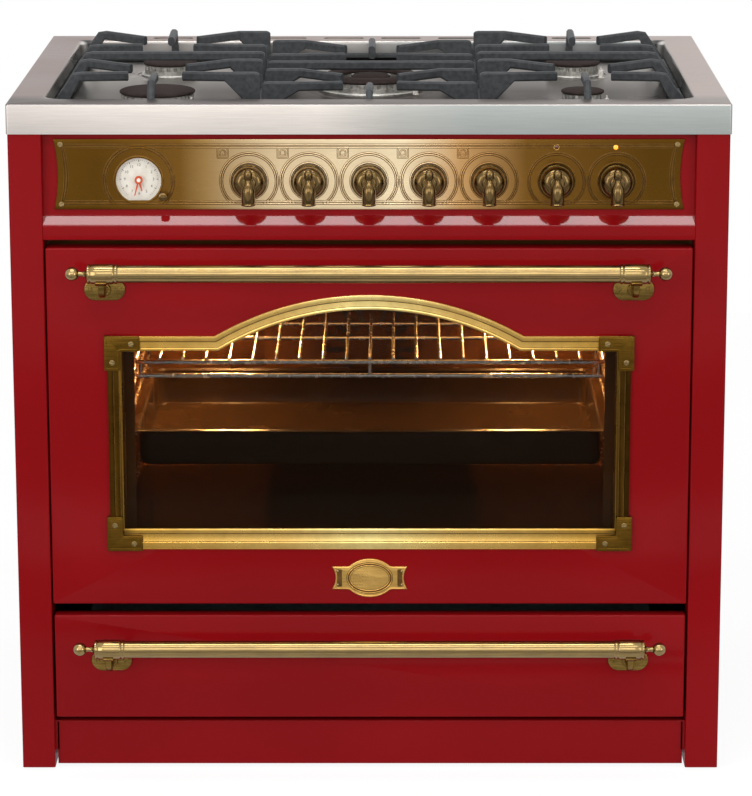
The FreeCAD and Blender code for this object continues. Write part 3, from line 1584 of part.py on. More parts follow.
def make_corners():
    """Four frame corners with their screws and the badge rivets."""
    corners = []
    for z, d in ((corner_top, -1), (corner_bottom, 1)):
        corners += both_sides(corner_piece(z, d))
    save("window_corners", corners)
    screws = []
    face = -frame_rise - corner_thickness
    for count, (x, z) in enumerate(corner_screw_places()):
        for side in (-1, 1):
            turn = corner_screw_turn_step * (count + side)
            screws.append(slotted_head(side * x, face, z, screw_dia, screw_rise, turn))
    for sx in (-1, 1):
        for sz in (-1, 1):
            screws.append(disc(sx * badge_rivet_x, -badge_thickness - badge_rivet_rise,
                               badge_height + sz * badge_rivet_z, badge_rivet_dia, badge_rivet_rise, BACK))
    save("door_screws", screws)


def make_badge():
    """Bare badge plate: an oval with side tabs and a raised ring."""
    y0 = -badge_thickness

    def oval_slab(half_x, half_z, start, end):
        curve = Part.Ellipse(ORIGIN, half_x, half_z).toShape()
        slab = Part.Face(Part.Wire([curve])).extrude(Vector(0, 0, end - start))
        slab.rotate(ORIGIN, RIGHT, 90)
        slab.translate(Vector(0, end, badge_height))
        return slab

    tab = badge_side_half_height
    bite = badge_half_width - badge_side_half_height * badge_bite_share
    path = [
        Vector(-badge_half_width, y0, badge_height - tab), Vector(badge_half_width, y0, badge_height - tab),
        (Vector(bite, y0, badge_height), Vector(badge_half_width, y0, badge_height + tab)),
        Vector(-badge_half_width, y0, badge_height + tab),
        (Vector(-bite, y0, badge_height), Vector(-badge_half_width, y0, badge_height - tab)),
    ]
    tabs = prism(path, Vector(0, badge_thickness, 0))
    body = joined([tabs, oval_slab(badge_oval_half_width, badge_oval_half_height, y0, 0)])
    rim = oval_slab(badge_oval_half_width, badge_oval_half_height, y0 - badge_ring_rise, y0).cut(
        oval_slab(badge_oval_half_width - badge_ring, badge_oval_half_height - badge_ring,
                  y0 - badge_ring_rise - overrun, y0 + overrun))
    save("badge_plate", joined([body, rim]))


def handle_bar(height):
    """Turned handle bar: grooved collars, necks and end balls."""
    y = -handle_stand_off
    axis = Vector(0, y, height)
    bar = handle_bar_dia / 2
    collar = handle_collar_dia / 2
    neck = handle_neck_dia / 2
    ball = handle_ball_dia / 2
    ball_start = handle_ball_centre - math.sqrt(ball ** 2 - neck ** 2)
    groove = handle_groove

    def at(x, r):
        return Vector(x, y, height + r)

    path = [
        at(0, 0), at(0, bar), at(handle_collar_start, bar), at(handle_collar_start, collar),
        at(handle_collar_start + 2 * groove, collar),
        at(handle_collar_start + 2 * groove, collar - groove / 2),
        at(handle_collar_start + 3 * groove, collar - groove / 2),
        at(handle_collar_start + 3 * groove, collar),
        at(handle_collar_end - 3 * groove, collar),
        at(handle_collar_end - 3 * groove, collar - groove / 2),
        at(handle_collar_end - 2 * groove, collar - groove / 2),
        at(handle_collar_end - 2 * groove, collar),
        at(handle_collar_end, collar), at(handle_neck_start, neck), at(ball_start, neck),
        (at(handle_ball_centre, ball), at(handle_ball_centre + ball, 0)),
    ]
    half = turned(path, axis, RIGHT)
    return joined(both_sides(half))


def handle_bracket(height):
    """Right-hand bracket: oval base on the face and a curved strap up to the collar."""
    base_z = height - bracket_drop
    half_l = bracket_base_length / 2
    half_h = bracket_base_height / 2
    flat = half_l - half_h
    y0 = -bracket_base_thickness
    x = bracket_place
    path = [
        Vector(x - flat, y0, base_z - half_h), Vector(x + flat, y0, base_z - half_h),
        (Vector(x + half_l, y0, base_z), Vector(x + flat, y0, base_z + half_h)),
        Vector(x - flat, y0, base_z + half_h),
        (Vector(x - half_l, y0, base_z), Vector(x - flat, y0, base_z - half_h)),
    ]
    base = prism(path, Vector(0, bracket_base_thickness, 0))
    collar_low = height - handle_collar_dia / 2
    bend = collar_low - base_z
    half_t = bracket_strap_thickness / 2
    centre_y = bend - handle_stand_off
    inner = bend - half_t
    outer = bend + half_t
    diag = math.sin(math.pi / 4)
    x0 = x - bracket_strap_width / 2
    strap = prism([
        Vector(x0, y0, base_z + half_t), Vector(x0, y0, base_z - half_t),
        Vector(x0, centre_y, base_z - half_t),
        (Vector(x0, centre_y - outer * diag, collar_low - outer * diag),
         Vector(x0, centre_y - outer, collar_low)),
        Vector(x0, centre_y - outer, height), Vector(x0, centre_y - inner, height),
        Vector(x0, centre_y - inner, collar_low),
        (Vector(x0, centre_y - inner * diag, collar_low - inner * diag),
         Vector(x0, centre_y, base_z + half_t)),
    ], Vector(bracket_strap_width, 0, 0))
    room = rod(Vector(x - half_l, -handle_stand_off, height), Vector(x + half_l, -handle_stand_off, height),
               handle_collar_dia + 2 * seat_gap)
    screws = [disc(x + side * bracket_screw_place, y0 - screw_rise, base_z, screw_dia, screw_rise, BACK)
              for side in (-1, 1)]
    return joined([base, strap] + screws).cut(room)


def make_door_handle():
    """Door handle bar on its two brackets."""
    save("door_handle_bar", handle_bar(door_handle_height))
    save("door_handle_brackets", both_sides(handle_bracket(door_handle_height)))


def make_hinges():
    """Door hinges: ears and pin on the door, turning in the fixed hook arms."""
    x = hinge_place
    half = hinge_ear_gap / 2
    ears = []
    for start in (x - half - hinge_ear, x + half):
        ears.append(block(start, start + hinge_ear, door_panel_sheet, inner_frame_front,
                          door_bottom + door_panel_sheet, hinge_height + 2 * hinge_pin_dia))
    pin = rod(Vector(x - half - hinge_ear, hinge_setback, hinge_height),
              Vector(x + half + hinge_ear, hinge_setback, hinge_height), hinge_pin_dia)
    save("door_hinge_pins", both_sides(joined(ears + [pin])))


def hinge_arms():
    """Hook arms in the cavity's front frame that carry the door's hinge pins."""
    x = hinge_place
    half = hinge_ear_gap / 2
    pin_r = hinge_pin_dia / 2
    arm_half = half - seat_gap
    eye = disc(x - arm_half, hinge_setback, hinge_height, hinge_pin_dia + 4 * sheet, 2 * arm_half, RIGHT)
    arm = block(x - arm_half, x + arm_half, hinge_setback, flange_back + 2 * overrun,
                hinge_height - pin_r, hinge_height + pin_r)
    hook = block(x - arm_half, x + arm_half, flange_back + seat_gap, flange_back + 2 * overrun,
                 hinge_height - hinge_arm_height / 2, hinge_height + hinge_arm_height / 2 + overrun)
    bore = rod(Vector(x - half, hinge_setback, hinge_height), Vector(x + half, hinge_setback, hinge_height),
               hinge_pin_dia + 2 * run_gap)
    return both_sides(joined([eye, arm, hook]).cut(bore))


# Drawer

def make_drawer():
    """Drawer front, open box, handle and runners."""
    outer = block(-drawer_half, drawer_half, 0, drawer_front_depth, drawer_bottom, drawer_top)
    inner = block(-drawer_half + sheet, drawer_half - sheet, sheet, drawer_front_depth - sheet,
                  drawer_bottom + sheet, drawer_top - sheet)
    save("drawer_front", outer.cut(inner))
    half = drawer_box_half_width
    y0 = drawer_front_depth
    y1 = y0 + drawer_box_depth
    box = block(-half, half, y0, y1, drawer_box_bottom, drawer_box_top)
    room = block(-half + sheet, half - sheet, y0 + sheet, y1 - sheet, drawer_box_bottom + sheet,
                 drawer_box_top + overrun)
    rails = both_sides(block(half, half + runner_thickness, y0, y1, runner_bottom + sheet + runner_gap,
                             runner_bottom + runner_height - sheet - runner_gap))
    save("drawer_box", joined([box.cut(room)] + rails))
    wall = half_width - sheet
    start = half + runner_gap
    end = start + runner_thickness + sheet
    channels = []
    outer_ch = block(start, end, cavity_front + sheet, y1 + overrun, runner_bottom,
                     runner_bottom + runner_height)
    slot = block(start - overrun, end - sheet, cavity_front - overrun, y1 + 2 * overrun,
                 runner_bottom + sheet, runner_bottom + runner_height - sheet)
    channel = outer_ch.cut(slot)
    for y in (cavity_front + 2 * bearer_width, y1 - 2 * bearer_width):
        channels.append(block(end, wall, y, y + bearer_width, runner_bottom, runner_bottom + runner_height))
    save("drawer_runners", both_sides(joined([channel] + channels)))
    save("drawer_handle_bar", handle_bar(drawer_handle_height))
    save("drawer_handle_brackets", both_sides(handle_bracket(drawer_handle_height)))


make_sides()
make_back()
make_carcass()
make_plinth()
make_feet()
make_cavity()
make_seal()
make_ladders()
make_rack()
make_tray()
make_fan()
make_fan_cover()
make_elements()
make_oven_lamp()
make_fascia()
make_plate()
make_plate_screws()
make_pilots()
make_clock()
make_knobs()
make_valves()
make_gas_rail()
make_hob()
make_burners()
make_supports()
make_door_panel()
make_door_glass()
make_inner_frame()
make_window_frame()
make_corners()
make_badge()
make_door_handle()
make_hinges()
make_drawer()
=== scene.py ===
import json
import math

import bmesh
import bpy
import numpy as np
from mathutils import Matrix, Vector


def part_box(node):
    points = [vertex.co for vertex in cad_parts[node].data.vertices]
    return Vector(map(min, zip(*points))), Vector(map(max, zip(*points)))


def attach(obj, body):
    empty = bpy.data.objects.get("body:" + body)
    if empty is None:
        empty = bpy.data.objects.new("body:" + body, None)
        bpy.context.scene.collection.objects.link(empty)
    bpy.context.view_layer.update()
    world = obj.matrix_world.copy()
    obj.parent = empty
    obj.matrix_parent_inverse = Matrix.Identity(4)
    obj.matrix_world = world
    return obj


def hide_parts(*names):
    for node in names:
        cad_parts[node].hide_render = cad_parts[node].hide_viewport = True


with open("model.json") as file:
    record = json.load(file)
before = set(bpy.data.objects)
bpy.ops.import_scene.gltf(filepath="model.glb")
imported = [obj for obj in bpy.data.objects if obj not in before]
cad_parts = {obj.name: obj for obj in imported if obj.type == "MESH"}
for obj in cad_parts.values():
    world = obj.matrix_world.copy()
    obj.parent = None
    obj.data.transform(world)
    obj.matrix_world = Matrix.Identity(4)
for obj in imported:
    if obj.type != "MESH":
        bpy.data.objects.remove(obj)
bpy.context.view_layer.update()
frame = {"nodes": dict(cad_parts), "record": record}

# Shapes are worked out in millimetres: X right, D back from the front face of the posts, Z up
MM = 0.001
TINY = MM * MM
ACROSS, DEEP, TALL = 0, 1, 2
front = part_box("side_panel_right")[0].y / MM


def span(node):
    """Lowest and highest corner of a CAD node in millimetres, with depth from the posts' front."""
    low, high = (np.array(corner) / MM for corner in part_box(node))
    shift = np.array((0, front, 0))
    return low - shift, high - shift


def middle(node):
    """Middle of a CAD node's box."""
    low, high = span(node)
    return (low + high) / 2


# Shape making: a shape is its points and a list of face tables, one table per number of corners

def merged(shapes):
    """Several shapes as one: the tables keep their corners, counted on from the points before."""
    points, faces, start = [], [], 0
    for some, tables in shapes:
        points.append(some)
        faces += [table + start for table in tables]
        start += len(some)
    return np.concatenate(points), faces


def moved(shape, x=0.0, d=0.0, z=0.0):
    """The shape shifted by three lengths."""
    points, faces = shape
    return points + np.array((x, d, z)), faces


def mirrored(shape):
    """The same shape on the other side of the cooker."""
    points, faces = shape
    return points * np.array((-1, 1, 1)), faces


def both_sides(shape):
    """A right-hand shape and its left-hand twin."""
    return [shape, mirrored(shape)]


def turned(shape, angle, centre, axis):
    """The shape turned about an axis through a centre, by the plane rotation of the two other axes."""
    points, faces = shape
    a, b = [i for i in (ACROSS, DEEP, TALL) if i != axis]
    points = points - centre
    cos, sin = math.cos(angle), math.sin(angle)
    out = points.copy()
    out[:, a] = cos * points[:, a] - sin * points[:, b]
    out[:, b] = sin * points[:, a] + cos * points[:, b]
    return out + centre, faces


def welded(shape):
    """Points nearer than a thousandth of a millimetre become one, and corners that fell together go."""
    points, faces = shape
    _, first, back = np.unique(np.round(points / MM).astype(np.int64), axis=0,
                               return_index=True, return_inverse=True)
    back = back.reshape(-1)
    tables = []
    for table in faces:
        table = back[table]
        keep = table != np.roll(table, -1, axis=1)
        for count in range(3, table.shape[1] + 1):
            rows = keep.sum(axis=1) == count
            if rows.any():
                tables.append(table[rows][keep[rows]].reshape(-1, count))
    return points[first], tables


def grid(rings, wrap_rows=False, caps=False):
    """Surface through rings of points: each ring closes on itself, and the end rings may have lids."""
    rows, columns = rings.shape[:2]
    index = np.arange(rows * columns).reshape(rows, columns)
    ahead = np.roll(index, -1, axis=0) if wrap_rows else index[1:]
    here = index if wrap_rows else index[:-1]
    quads = np.stack((here, np.roll(here, -1, axis=1), np.roll(ahead, -1, axis=1), ahead), axis=-1)
    faces = [quads.reshape(-1, 4)]
    if caps:
        faces += [index[:1, ::-1], index[-1:]]
    return welded((rings.reshape(-1, 3), faces))


def standing(outline, level, axis):
    """A flat outline set at a level along an axis; its two columns are the two other axes in order."""
    return np.insert(outline, axis, level, axis=1)


def inset(outline, distance):
    """Outline drawn in by a distance: each point moves along the mitre of its two edges' normals."""
    edge = np.roll(outline, -1, axis=0) - outline
    edge = edge / np.maximum(np.linalg.norm(edge, axis=1, keepdims=True), TINY)
    x, y = outline.T
    area = np.sum(x * np.roll(y, -1) - np.roll(x, -1) * y)
    normal = np.stack((-edge[:, 1], edge[:, 0]), axis=1) * np.sign(area)
    before = np.roll(normal, 1, axis=0)
    straight = np.sum(before * normal, axis=1, keepdims=True)
    return outline + distance * (before + normal) / np.maximum(1 + straight, 0.25)


def filleted(corners, radii, steps=5):
    """Closed outline whose corners are arcs: each arc touches both edges at radius over tan(half angle)."""
    corners = np.array(corners, float)
    radii = np.broadcast_to(radii, len(corners))
    points = []
    for at, before, after, radius in zip(corners, np.roll(corners, 1, axis=0),
                                         np.roll(corners, -1, axis=0), radii):
        if radius <= 0:
            points.append(at[None])
            continue
        u = (before - at) / np.linalg.norm(before - at)
        v = (after - at) / np.linalg.norm(after - at)
        half = math.acos(np.clip(u @ v, -1, 1)) / 2
        centre = at + (u + v) / np.linalg.norm(u + v) * radius / math.sin(half)
        start = at + u * radius / math.tan(half) - centre
        end = at + v * radius / math.tan(half) - centre
        first = math.atan2(start[1], start[0])
        sweep = (math.atan2(end[1], end[0]) - first + math.pi) % (2 * math.pi) - math.pi
        angles = first + sweep * np.linspace(0, 1, steps + 1)
        points.append(centre + radius * np.stack((np.cos(angles), np.sin(angles)), axis=1))
    return np.concatenate(points)


def rectangle(x0, x1, y0, y1):
    """Corners of a rectangle, counter-clockwise."""
    return [(x0, y0), (x1, y0), (x1, y1), (x0, y1)]


def front_of(low, high):
    """Corners of a box seen from the front."""
    return rectangle(low[0], high[0], low[2], high[2])


def plan_of(low, high, inward=0.0):
    """Corners of a box seen from above, drawn in by a length."""
    return rectangle(low[0] + inward, high[0] - inward, low[1] + inward, high[1] - inward)


def circle(x, y, radius, steps=48):
    """Points of a circle by cosine and sine."""
    angles = np.arange(steps) * 2 * math.pi / steps
    return np.stack((x + radius * np.cos(angles), y + radius * np.sin(angles)), axis=1)


def arc(x, y, radius, start, end, steps=8):
    """Points of an arc between two angles in degrees."""
    angles = np.radians(np.linspace(start, end, steps + 1))
    return np.stack((x + radius * np.cos(angles), y + radius * np.sin(angles)), axis=1)


def quarter(radius, steps):
    """Pairs down a quarter round: how far in from the side, and how far down from the face."""
    turns = np.linspace(0, math.pi / 2, steps)
    return [(radius * (1 - math.sin(turn)), radius * (1 - math.cos(turn))) for turn in turns]


def edge_rows(low, high, edge, steps=3):
    """Inset and level of each ring of a slab with quarter-round edges of one radius at both faces."""
    rise = quarter(edge, steps + 1) if edge > 0 else [(0.0, 0.0)]
    return [(i, low + r) for i, r in rise] + [(i, high - r) for i, r in reversed(rise)]


def slab(outline, low, high, axis, edge=0.0):
    """Solid of an outline between two levels, with rounded edges."""
    outline = np.array(outline, float)
    rings = [standing(inset(outline, i), level, axis) for i, level in edge_rows(low, high, edge)]
    return grid(np.array(rings), caps=True)


def box(x0, x1, d0, d1, z0, z1, edge=0.0):
    """Block with rounded edges: a rounded rectangle in plan, with rounded rims."""
    plan = filleted(rectangle(x0, x1, d0, d1), edge, 3)
    return slab(plan, z0, z1, TALL, edge)


def lathe(profile, centre, axis, steps=48, closed=False):
    """Profile of (along, radius) pairs turned about an axis; a closed profile makes a ring."""
    profile = np.array(profile, float)
    angles = np.arange(steps) * 2 * math.pi / steps
    a, b = [i for i in (ACROSS, DEEP, TALL) if i != axis]
    rings = np.zeros((len(profile), steps, 3))
    rings[..., axis] = profile[:, :1]
    rings[..., a] = profile[:, 1:] * np.cos(angles)
    rings[..., b] = profile[:, 1:] * np.sin(angles)
    return grid(rings + np.array(centre, float), wrap_rows=closed)


def swept(path, section, up=(0, 0, 1), closed=False):
    """Section of (side, up) pairs carried along a path: the side is the path's tangent times the up
    direction, and at a bend it widens by one over the cosine of the half turn."""
    path = np.array(path, float)
    section = np.array(section, float)
    if closed:
        ahead = np.roll(path, -1, axis=0) - path
        behind = path - np.roll(path, 1, axis=0)
    else:
        run = np.diff(path, axis=0)
        ahead = np.concatenate((run, run[-1:]))
        behind = np.concatenate((run[:1], run))
    ahead = ahead / np.linalg.norm(ahead, axis=1, keepdims=True)
    behind = behind / np.linalg.norm(behind, axis=1, keepdims=True)
    tangent = ahead + behind
    tangent /= np.linalg.norm(tangent, axis=1, keepdims=True)
    side = np.cross(tangent, np.array(up, float))
    side /= np.linalg.norm(side, axis=1, keepdims=True)
    rise = np.cross(side, tangent)
    widen = 1 / np.maximum(np.sum(tangent * ahead, axis=1), 0.4)
    rings = (path[:, None] + side[:, None] * section[None, :, :1] * widen[:, None, None]
             + rise[:, None] * section[None, :, 1:])
    return grid(rings, wrap_rows=closed, caps=not closed)


def wire(start, end, dia, sides=12):
    """Straight round wire between two points."""
    start, end = np.array(start, float), np.array(end, float)
    up = (0, 1, 0) if abs(end - start)[TALL] > abs(end - start).sum() / 2 else (0, 0, 1)
    return swept([start, end], circle(0, 0, dia / 2, sides), up)


def ridge(path, face, width, rise, closed=False):
    """Raised line on an upright face: a half-ellipse section carried along (x, z) points."""
    angles = np.radians(np.linspace(0, 180, 7))
    half = width / 2
    section = np.stack((half * np.cos(angles), rise * np.sin(angles)), axis=1)
    section = np.concatenate((section, [(-half, -rise), (half, -rise)]))
    line = standing(np.array(path, float), face, DEEP)
    return swept(line, section, up=(0, -1, 0), closed=closed)


def shape_of(mesh):
    """Points and face tables of a Blender mesh."""
    points = np.empty(len(mesh.vertices) * 3)
    mesh.vertices.foreach_get("co", points)
    corner = np.empty(len(mesh.loops), np.int64)
    mesh.loops.foreach_get("vertex_index", corner)
    start = np.empty(len(mesh.polygons), np.int64)
    mesh.polygons.foreach_get("loop_start", start)
    total = np.empty(len(mesh.polygons), np.int64)
    mesh.polygons.foreach_get("loop_total", total)
    faces = [corner[start[total == count][:, None] + np.arange(count)] for count in np.unique(total)]
    return points.reshape(-1, 3), faces


def mesh_of(name, groups):
    """Blender mesh of (material, shape) groups, with every closed shell's faces turned outwards."""
    points, faces = merged([shape for _, shape in groups])
    owner = np.concatenate([np.full(len(table), number) for number, (_, shape) in enumerate(groups)
                            for table in shape[1]])
    total = np.concatenate([np.full(len(table), table.shape[1]) for table in faces])
    mesh = bpy.data.meshes.new(name)
    mesh.vertices.add(len(points))
    mesh.vertices.foreach_set("co", points.astype(np.float32).ravel())
    mesh.loops.add(int(total.sum()))
    mesh.loops.foreach_set("vertex_index", np.concatenate([table.ravel() for table in faces]))
    mesh.polygons.add(len(total))
    mesh.polygons.foreach_set("loop_start", np.concatenate(([0], np.cumsum(total)[:-1])))
    for material, _ in groups:
        mesh.materials.append(material)
    mesh.polygons.foreach_set("material_index", owner)
    mesh.update(calc_edges=True)
    shells = bmesh.new()
    shells.from_mesh(mesh)
    bmesh.ops.recalc_face_normals(shells, faces=shells.faces)
    shells.to_mesh(mesh)
    shells.free()
    return mesh


def carved(shape, cutters):
    """A closed shape with closed cutters taken out of it."""
    body = bpy.data.objects.new("carved", mesh_of("carved", [(None, shape)]))
    tool = bpy.data.objects.new("cutters", mesh_of("cutters", [(None, merged(cutters))]))
    for each in (body, tool):
        bpy.context.scene.collection.objects.link(each)
    cut = body.modifiers.new("cut", "BOOLEAN")
    cut.object = tool
    cut.solver = "EXACT"
    cut.use_self = True
    result = bpy.data.meshes.new_from_object(body.evaluated_get(bpy.context.evaluated_depsgraph_get()))
    left = shape_of(result)
    for each in (body, tool):
        bpy.data.objects.remove(each)
    bpy.data.meshes.remove(result)
    return left


def add(name, groups, body, nodes=(), smooth=32.0):
    """One finished piece in metres, riding on its body, in place of the CAD nodes that it stands for."""
    groups = [(material, (np.stack((p[:, 0], p[:, 1] + front, p[:, 2]), axis=1) * MM, faces))
              for material, (p, faces) in groups]
    mesh = mesh_of(name, groups)
    mesh.polygons.foreach_set("use_smooth", np.ones(len(mesh.polygons), bool))
    mesh.set_sharp_from_angle(angle=math.radians(smooth))
    piece = bpy.data.objects.new(name, mesh)
    bpy.context.scene.collection.objects.link(piece)
    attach(piece, body)
    if nodes:
        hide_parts(*nodes)
    return piece


# Finishes

basin = (-409.0, 409.0, 41.0, 558.0)


def linear(colour):
    """Linear colour of an sRGB colour in three numbers out of 255; four numbers are linear already."""
    if len(colour) == 4:
        return colour
    value = np.array(colour) / 255
    value = np.where(value <= 0.04045, value / 12.92, ((value + 0.055) / 1.055) ** 2.4)
    return (*value.tolist(), 1.0)


class Finish:
    """A node material with helpers that add and join nodes."""

    def __init__(self, name, metallic=0.0, coat=0.0, ior=1.5):
        self.material = bpy.data.materials.new(name)
        self.material.use_nodes = True
        self.tree = self.material.node_tree
        self.shader = self.tree.nodes["Principled BSDF"]
        self.shader.inputs["Metallic"].default_value = metallic
        self.shader.inputs["Coat Weight"].default_value = coat
        self.shader.inputs["Coat Roughness"].default_value = 0.04
        self.shader.inputs["IOR"].default_value = ior
        self.place = self.node("ShaderNodeTexCoord").outputs["Object"]

    def node(self, kind, **values):
        """A node with attributes and input values set by name."""
        made = self.tree.nodes.new(kind)
        for name, value in values.items():
            if name in made.inputs:
                made.inputs[name].default_value = value
            else:
                setattr(made, name, value)
        return made

    def join(self, output, target):
        """A link from an output to an input."""
        self.tree.links.new(output, target)

    def noise(self, size, stretch=(1, 1, 1), detail=4.0, rough=0.55):
        """Fractal noise whose marks are about `size` metres, longer along the stretched axes."""
        fit = self.node("ShaderNodeMapping")
        fit.inputs["Scale"].default_value = [1 / (size * s) for s in stretch]
        self.join(self.place, fit.inputs["Vector"])
        made = self.node("ShaderNodeTexNoise", Scale=1.0, Detail=detail, Roughness=rough)
        self.join(fit.outputs["Vector"], made.inputs["Vector"])
        return made.outputs["Fac"]

    def axes(self, source=None):
        """The X, Y and Z of a place on the piece, or of another vector."""
        made = self.node("ShaderNodeSeparateXYZ")
        self.join(source or self.place, made.inputs[0])
        return made.outputs

    def product(self, first, second):
        """One number times another."""
        made = self.node("ShaderNodeMath", operation="MULTIPLY")
        self.join(first, made.inputs[0])
        self.join(second, made.inputs[1])
        return made.outputs[0]

    def ramp(self, source, stops):
        """Colour ramp of (place, colour) stops."""
        made = self.node("ShaderNodeValToRGB")
        elements = made.color_ramp.elements
        while len(elements) < len(stops):
            elements.new(1.0)
        for element, (at, colour) in zip(elements, stops):
            element.position = at
            element.color = linear(colour)
        self.join(source, made.inputs["Fac"])
        return made.outputs["Color"]

    def between(self, source, low, high, start=0.3, end=0.7):
        """Number that runs from low to high as the source runs from start to end."""
        made = self.node("ShaderNodeMapRange")
        for name, value in zip(("From Min", "From Max", "To Min", "To Max"), (start, end, low, high)):
            made.inputs[name].default_value = value
        self.join(source, made.inputs["Value"])
        return made.outputs["Result"]

    def mix(self, factor, first, second, how="MIX"):
        """Two colours mixed by a factor."""
        made = self.node("ShaderNodeMix", data_type="RGBA", blend_type=how)
        if isinstance(factor, float):
            made.inputs[0].default_value = factor
        else:
            self.join(factor, made.inputs[0])
        for value, socket in ((first, made.inputs[6]), (second, made.inputs[7])):
            if isinstance(value, tuple):
                socket.default_value = linear(value)
            else:
                self.join(value, socket)
        return made.outputs[2]

    def colour(self, source):
        """The surface colour follows a source."""
        self.join(source, self.shader.inputs["Base Color"])

    def roughness(self, source):
        """The roughness follows a source."""
        self.join(source, self.shader.inputs["Roughness"])

    def bump(self, source, depth, strength=1.0):
        """Relief of a depth in metres."""
        made = self.node("ShaderNodeBump", Strength=strength, Distance=depth)
        self.join(source, made.inputs["Height"])
        self.join(made.outputs["Normal"], self.shader.inputs["Normal"])


def plain_finish(name, dark, light, metallic, rough, size, depth=0.0, stretch=(1, 1, 1), coat=0.0,
                 fine=0.0006, shine=0.5):
    """Two close colours in soft marks, a roughness that follows them and a fine relief."""
    made = Finish(name, metallic, coat)
    made.shader.inputs["Specular IOR Level"].default_value = shine
    marks = made.noise(size, stretch)
    made.colour(made.ramp(marks, [(0.32, dark), (0.68, light)]))
    made.roughness(made.between(marks, rough[0], rough[1]))
    if depth:
        made.bump(made.noise(fine, stretch, 2.0), depth)
    return made.material


def red_enamel(name, shiny=None):
    """Glossy red enamel, a little uneven in tone, with a faint orange peel, and a thicker glaze between
    two heights in metres."""
    thin, thick, soft = 0.14, 0.9, 0.0004
    made = Finish(name, 0.0, thin)
    made.shader.inputs["Coat Roughness"].default_value = 0.07
    made.shader.inputs["Specular IOR Level"].default_value = 0.03
    made.colour(made.ramp(made.noise(0.35, detail=2.0), [(0.3, (128, 9, 14)), (0.7, (138, 11, 17))]))
    made.roughness(made.between(made.noise(0.05), 0.28, 0.4))
    made.bump(made.noise(0.004, detail=1.0), 0.00006)
    if shiny:
        height = made.axes()["Z"]
        foot, top = shiny
        above = made.between(height, 0.0, 1.0, foot - soft, foot + soft)
        below = made.between(height, 1.0, 0.0, top - soft, top + soft)
        glaze = made.between(made.product(above, below), thin, thick, 0.0, 1.0)
        made.join(glaze, made.shader.inputs["Coat Weight"])
    return made.material


def brushed_brass(name, dark, light, rough, stretch, patina, lacquer=0.0):
    """Aged brass with fine scratches along one axis, darker patina clouds and maybe a clear lacquer."""
    made = Finish(name, 1.0, lacquer)
    scratch = made.noise(0.0016, stretch, 3.0, 0.7)
    cloud = made.noise(0.03, detail=5.0, rough=0.65)
    metal = made.ramp(scratch, [(0.3, dark), (0.7, light)])
    shade = made.between(cloud, patina, 0.0, 0.35, 0.62)
    made.colour(made.mix(shade, metal, (70, 47, 16)))
    made.roughness(made.between(cloud, rough[1], rough[0], 0.35, 0.65))
    made.bump(scratch, 0.00001)
    return made.material


def plate_brass():
    """Control plate: brass brushed from side to side, with a painted reflection: painted dull at both ends
    and a painted highlight in the middle.
    """
    made = Finish("plate_brass", 1.0)
    half = 0.394
    along = made.between(made.axes()["X"], 0.0, 1.0, -half, half)
    # Painted reflection along the plate: dark tones at both ends, a painted highlight of pale and bright
    # tones in the middle
    dull, brown, honey = (90, 61, 17), (120, 84, 34), (161, 127, 76)
    pale, bright, amber = (232, 207, 166), (255, 234, 194), (206, 160, 104)
    tone = made.ramp(along, [(0.07, dull), (0.2, brown), (0.24, honey), (0.36, pale), (0.55, bright),
                             (0.645, amber), (0.75, brown), (0.95, dull)])
    scratch = made.noise(0.0009, (60, 1, 1), 4.0, 0.7)
    cloud = made.noise(0.035, (2, 1, 1), 5.0, 0.65)
    lines = made.mix(made.between(scratch, 0.0, 0.11), tone, (110, 78, 30))
    made.colour(made.mix(made.between(cloud, 0.1, 0.0, 0.36, 0.6), lines, (82, 56, 18)))
    made.roughness(made.between(cloud, 0.36, 0.23, 0.35, 0.65))
    made.bump(scratch, 0.00002)
    return made.material


def window_brass():
    """Window moulding: brass with a painted reflection from side to side: a painted highlight over the
    middle of the top and bottom and painted shade down the sides, under patina clouds.
    """
    made = Finish("window_brass", 1.0)
    half = 0.33
    # Painted reflection across the moulding: painted shade at both side strips, a painted highlight in the
    # middle
    across = made.ramp(made.between(made.axes()["X"], 0.0, 1.0, -half, half),
                       [(0.02, (72, 48, 10)), (0.05, (206, 160, 72)), (0.34, (232, 192, 110)),
                        (0.5, (255, 230, 150)), (0.66, (232, 192, 110)), (0.95, (200, 154, 68)),
                        (0.98, (50, 33, 7))])
    cloud = made.noise(0.03, detail=5.0, rough=0.65)
    scratch = made.noise(0.0016, (12, 1, 12), 3.0, 0.7)
    patina_over_painted_sheen = made.mix(made.between(cloud, 0.24, 0.0, 0.35, 0.62), across, (86, 58, 18))
    made.colour(made.mix(made.between(scratch, 0.0, 0.14), patina_over_painted_sheen, (104, 74, 26)))
    made.roughness(made.between(cloud, 0.36, 0.24, 0.35, 0.65))
    made.bump(scratch, 0.00001)
    return made.material


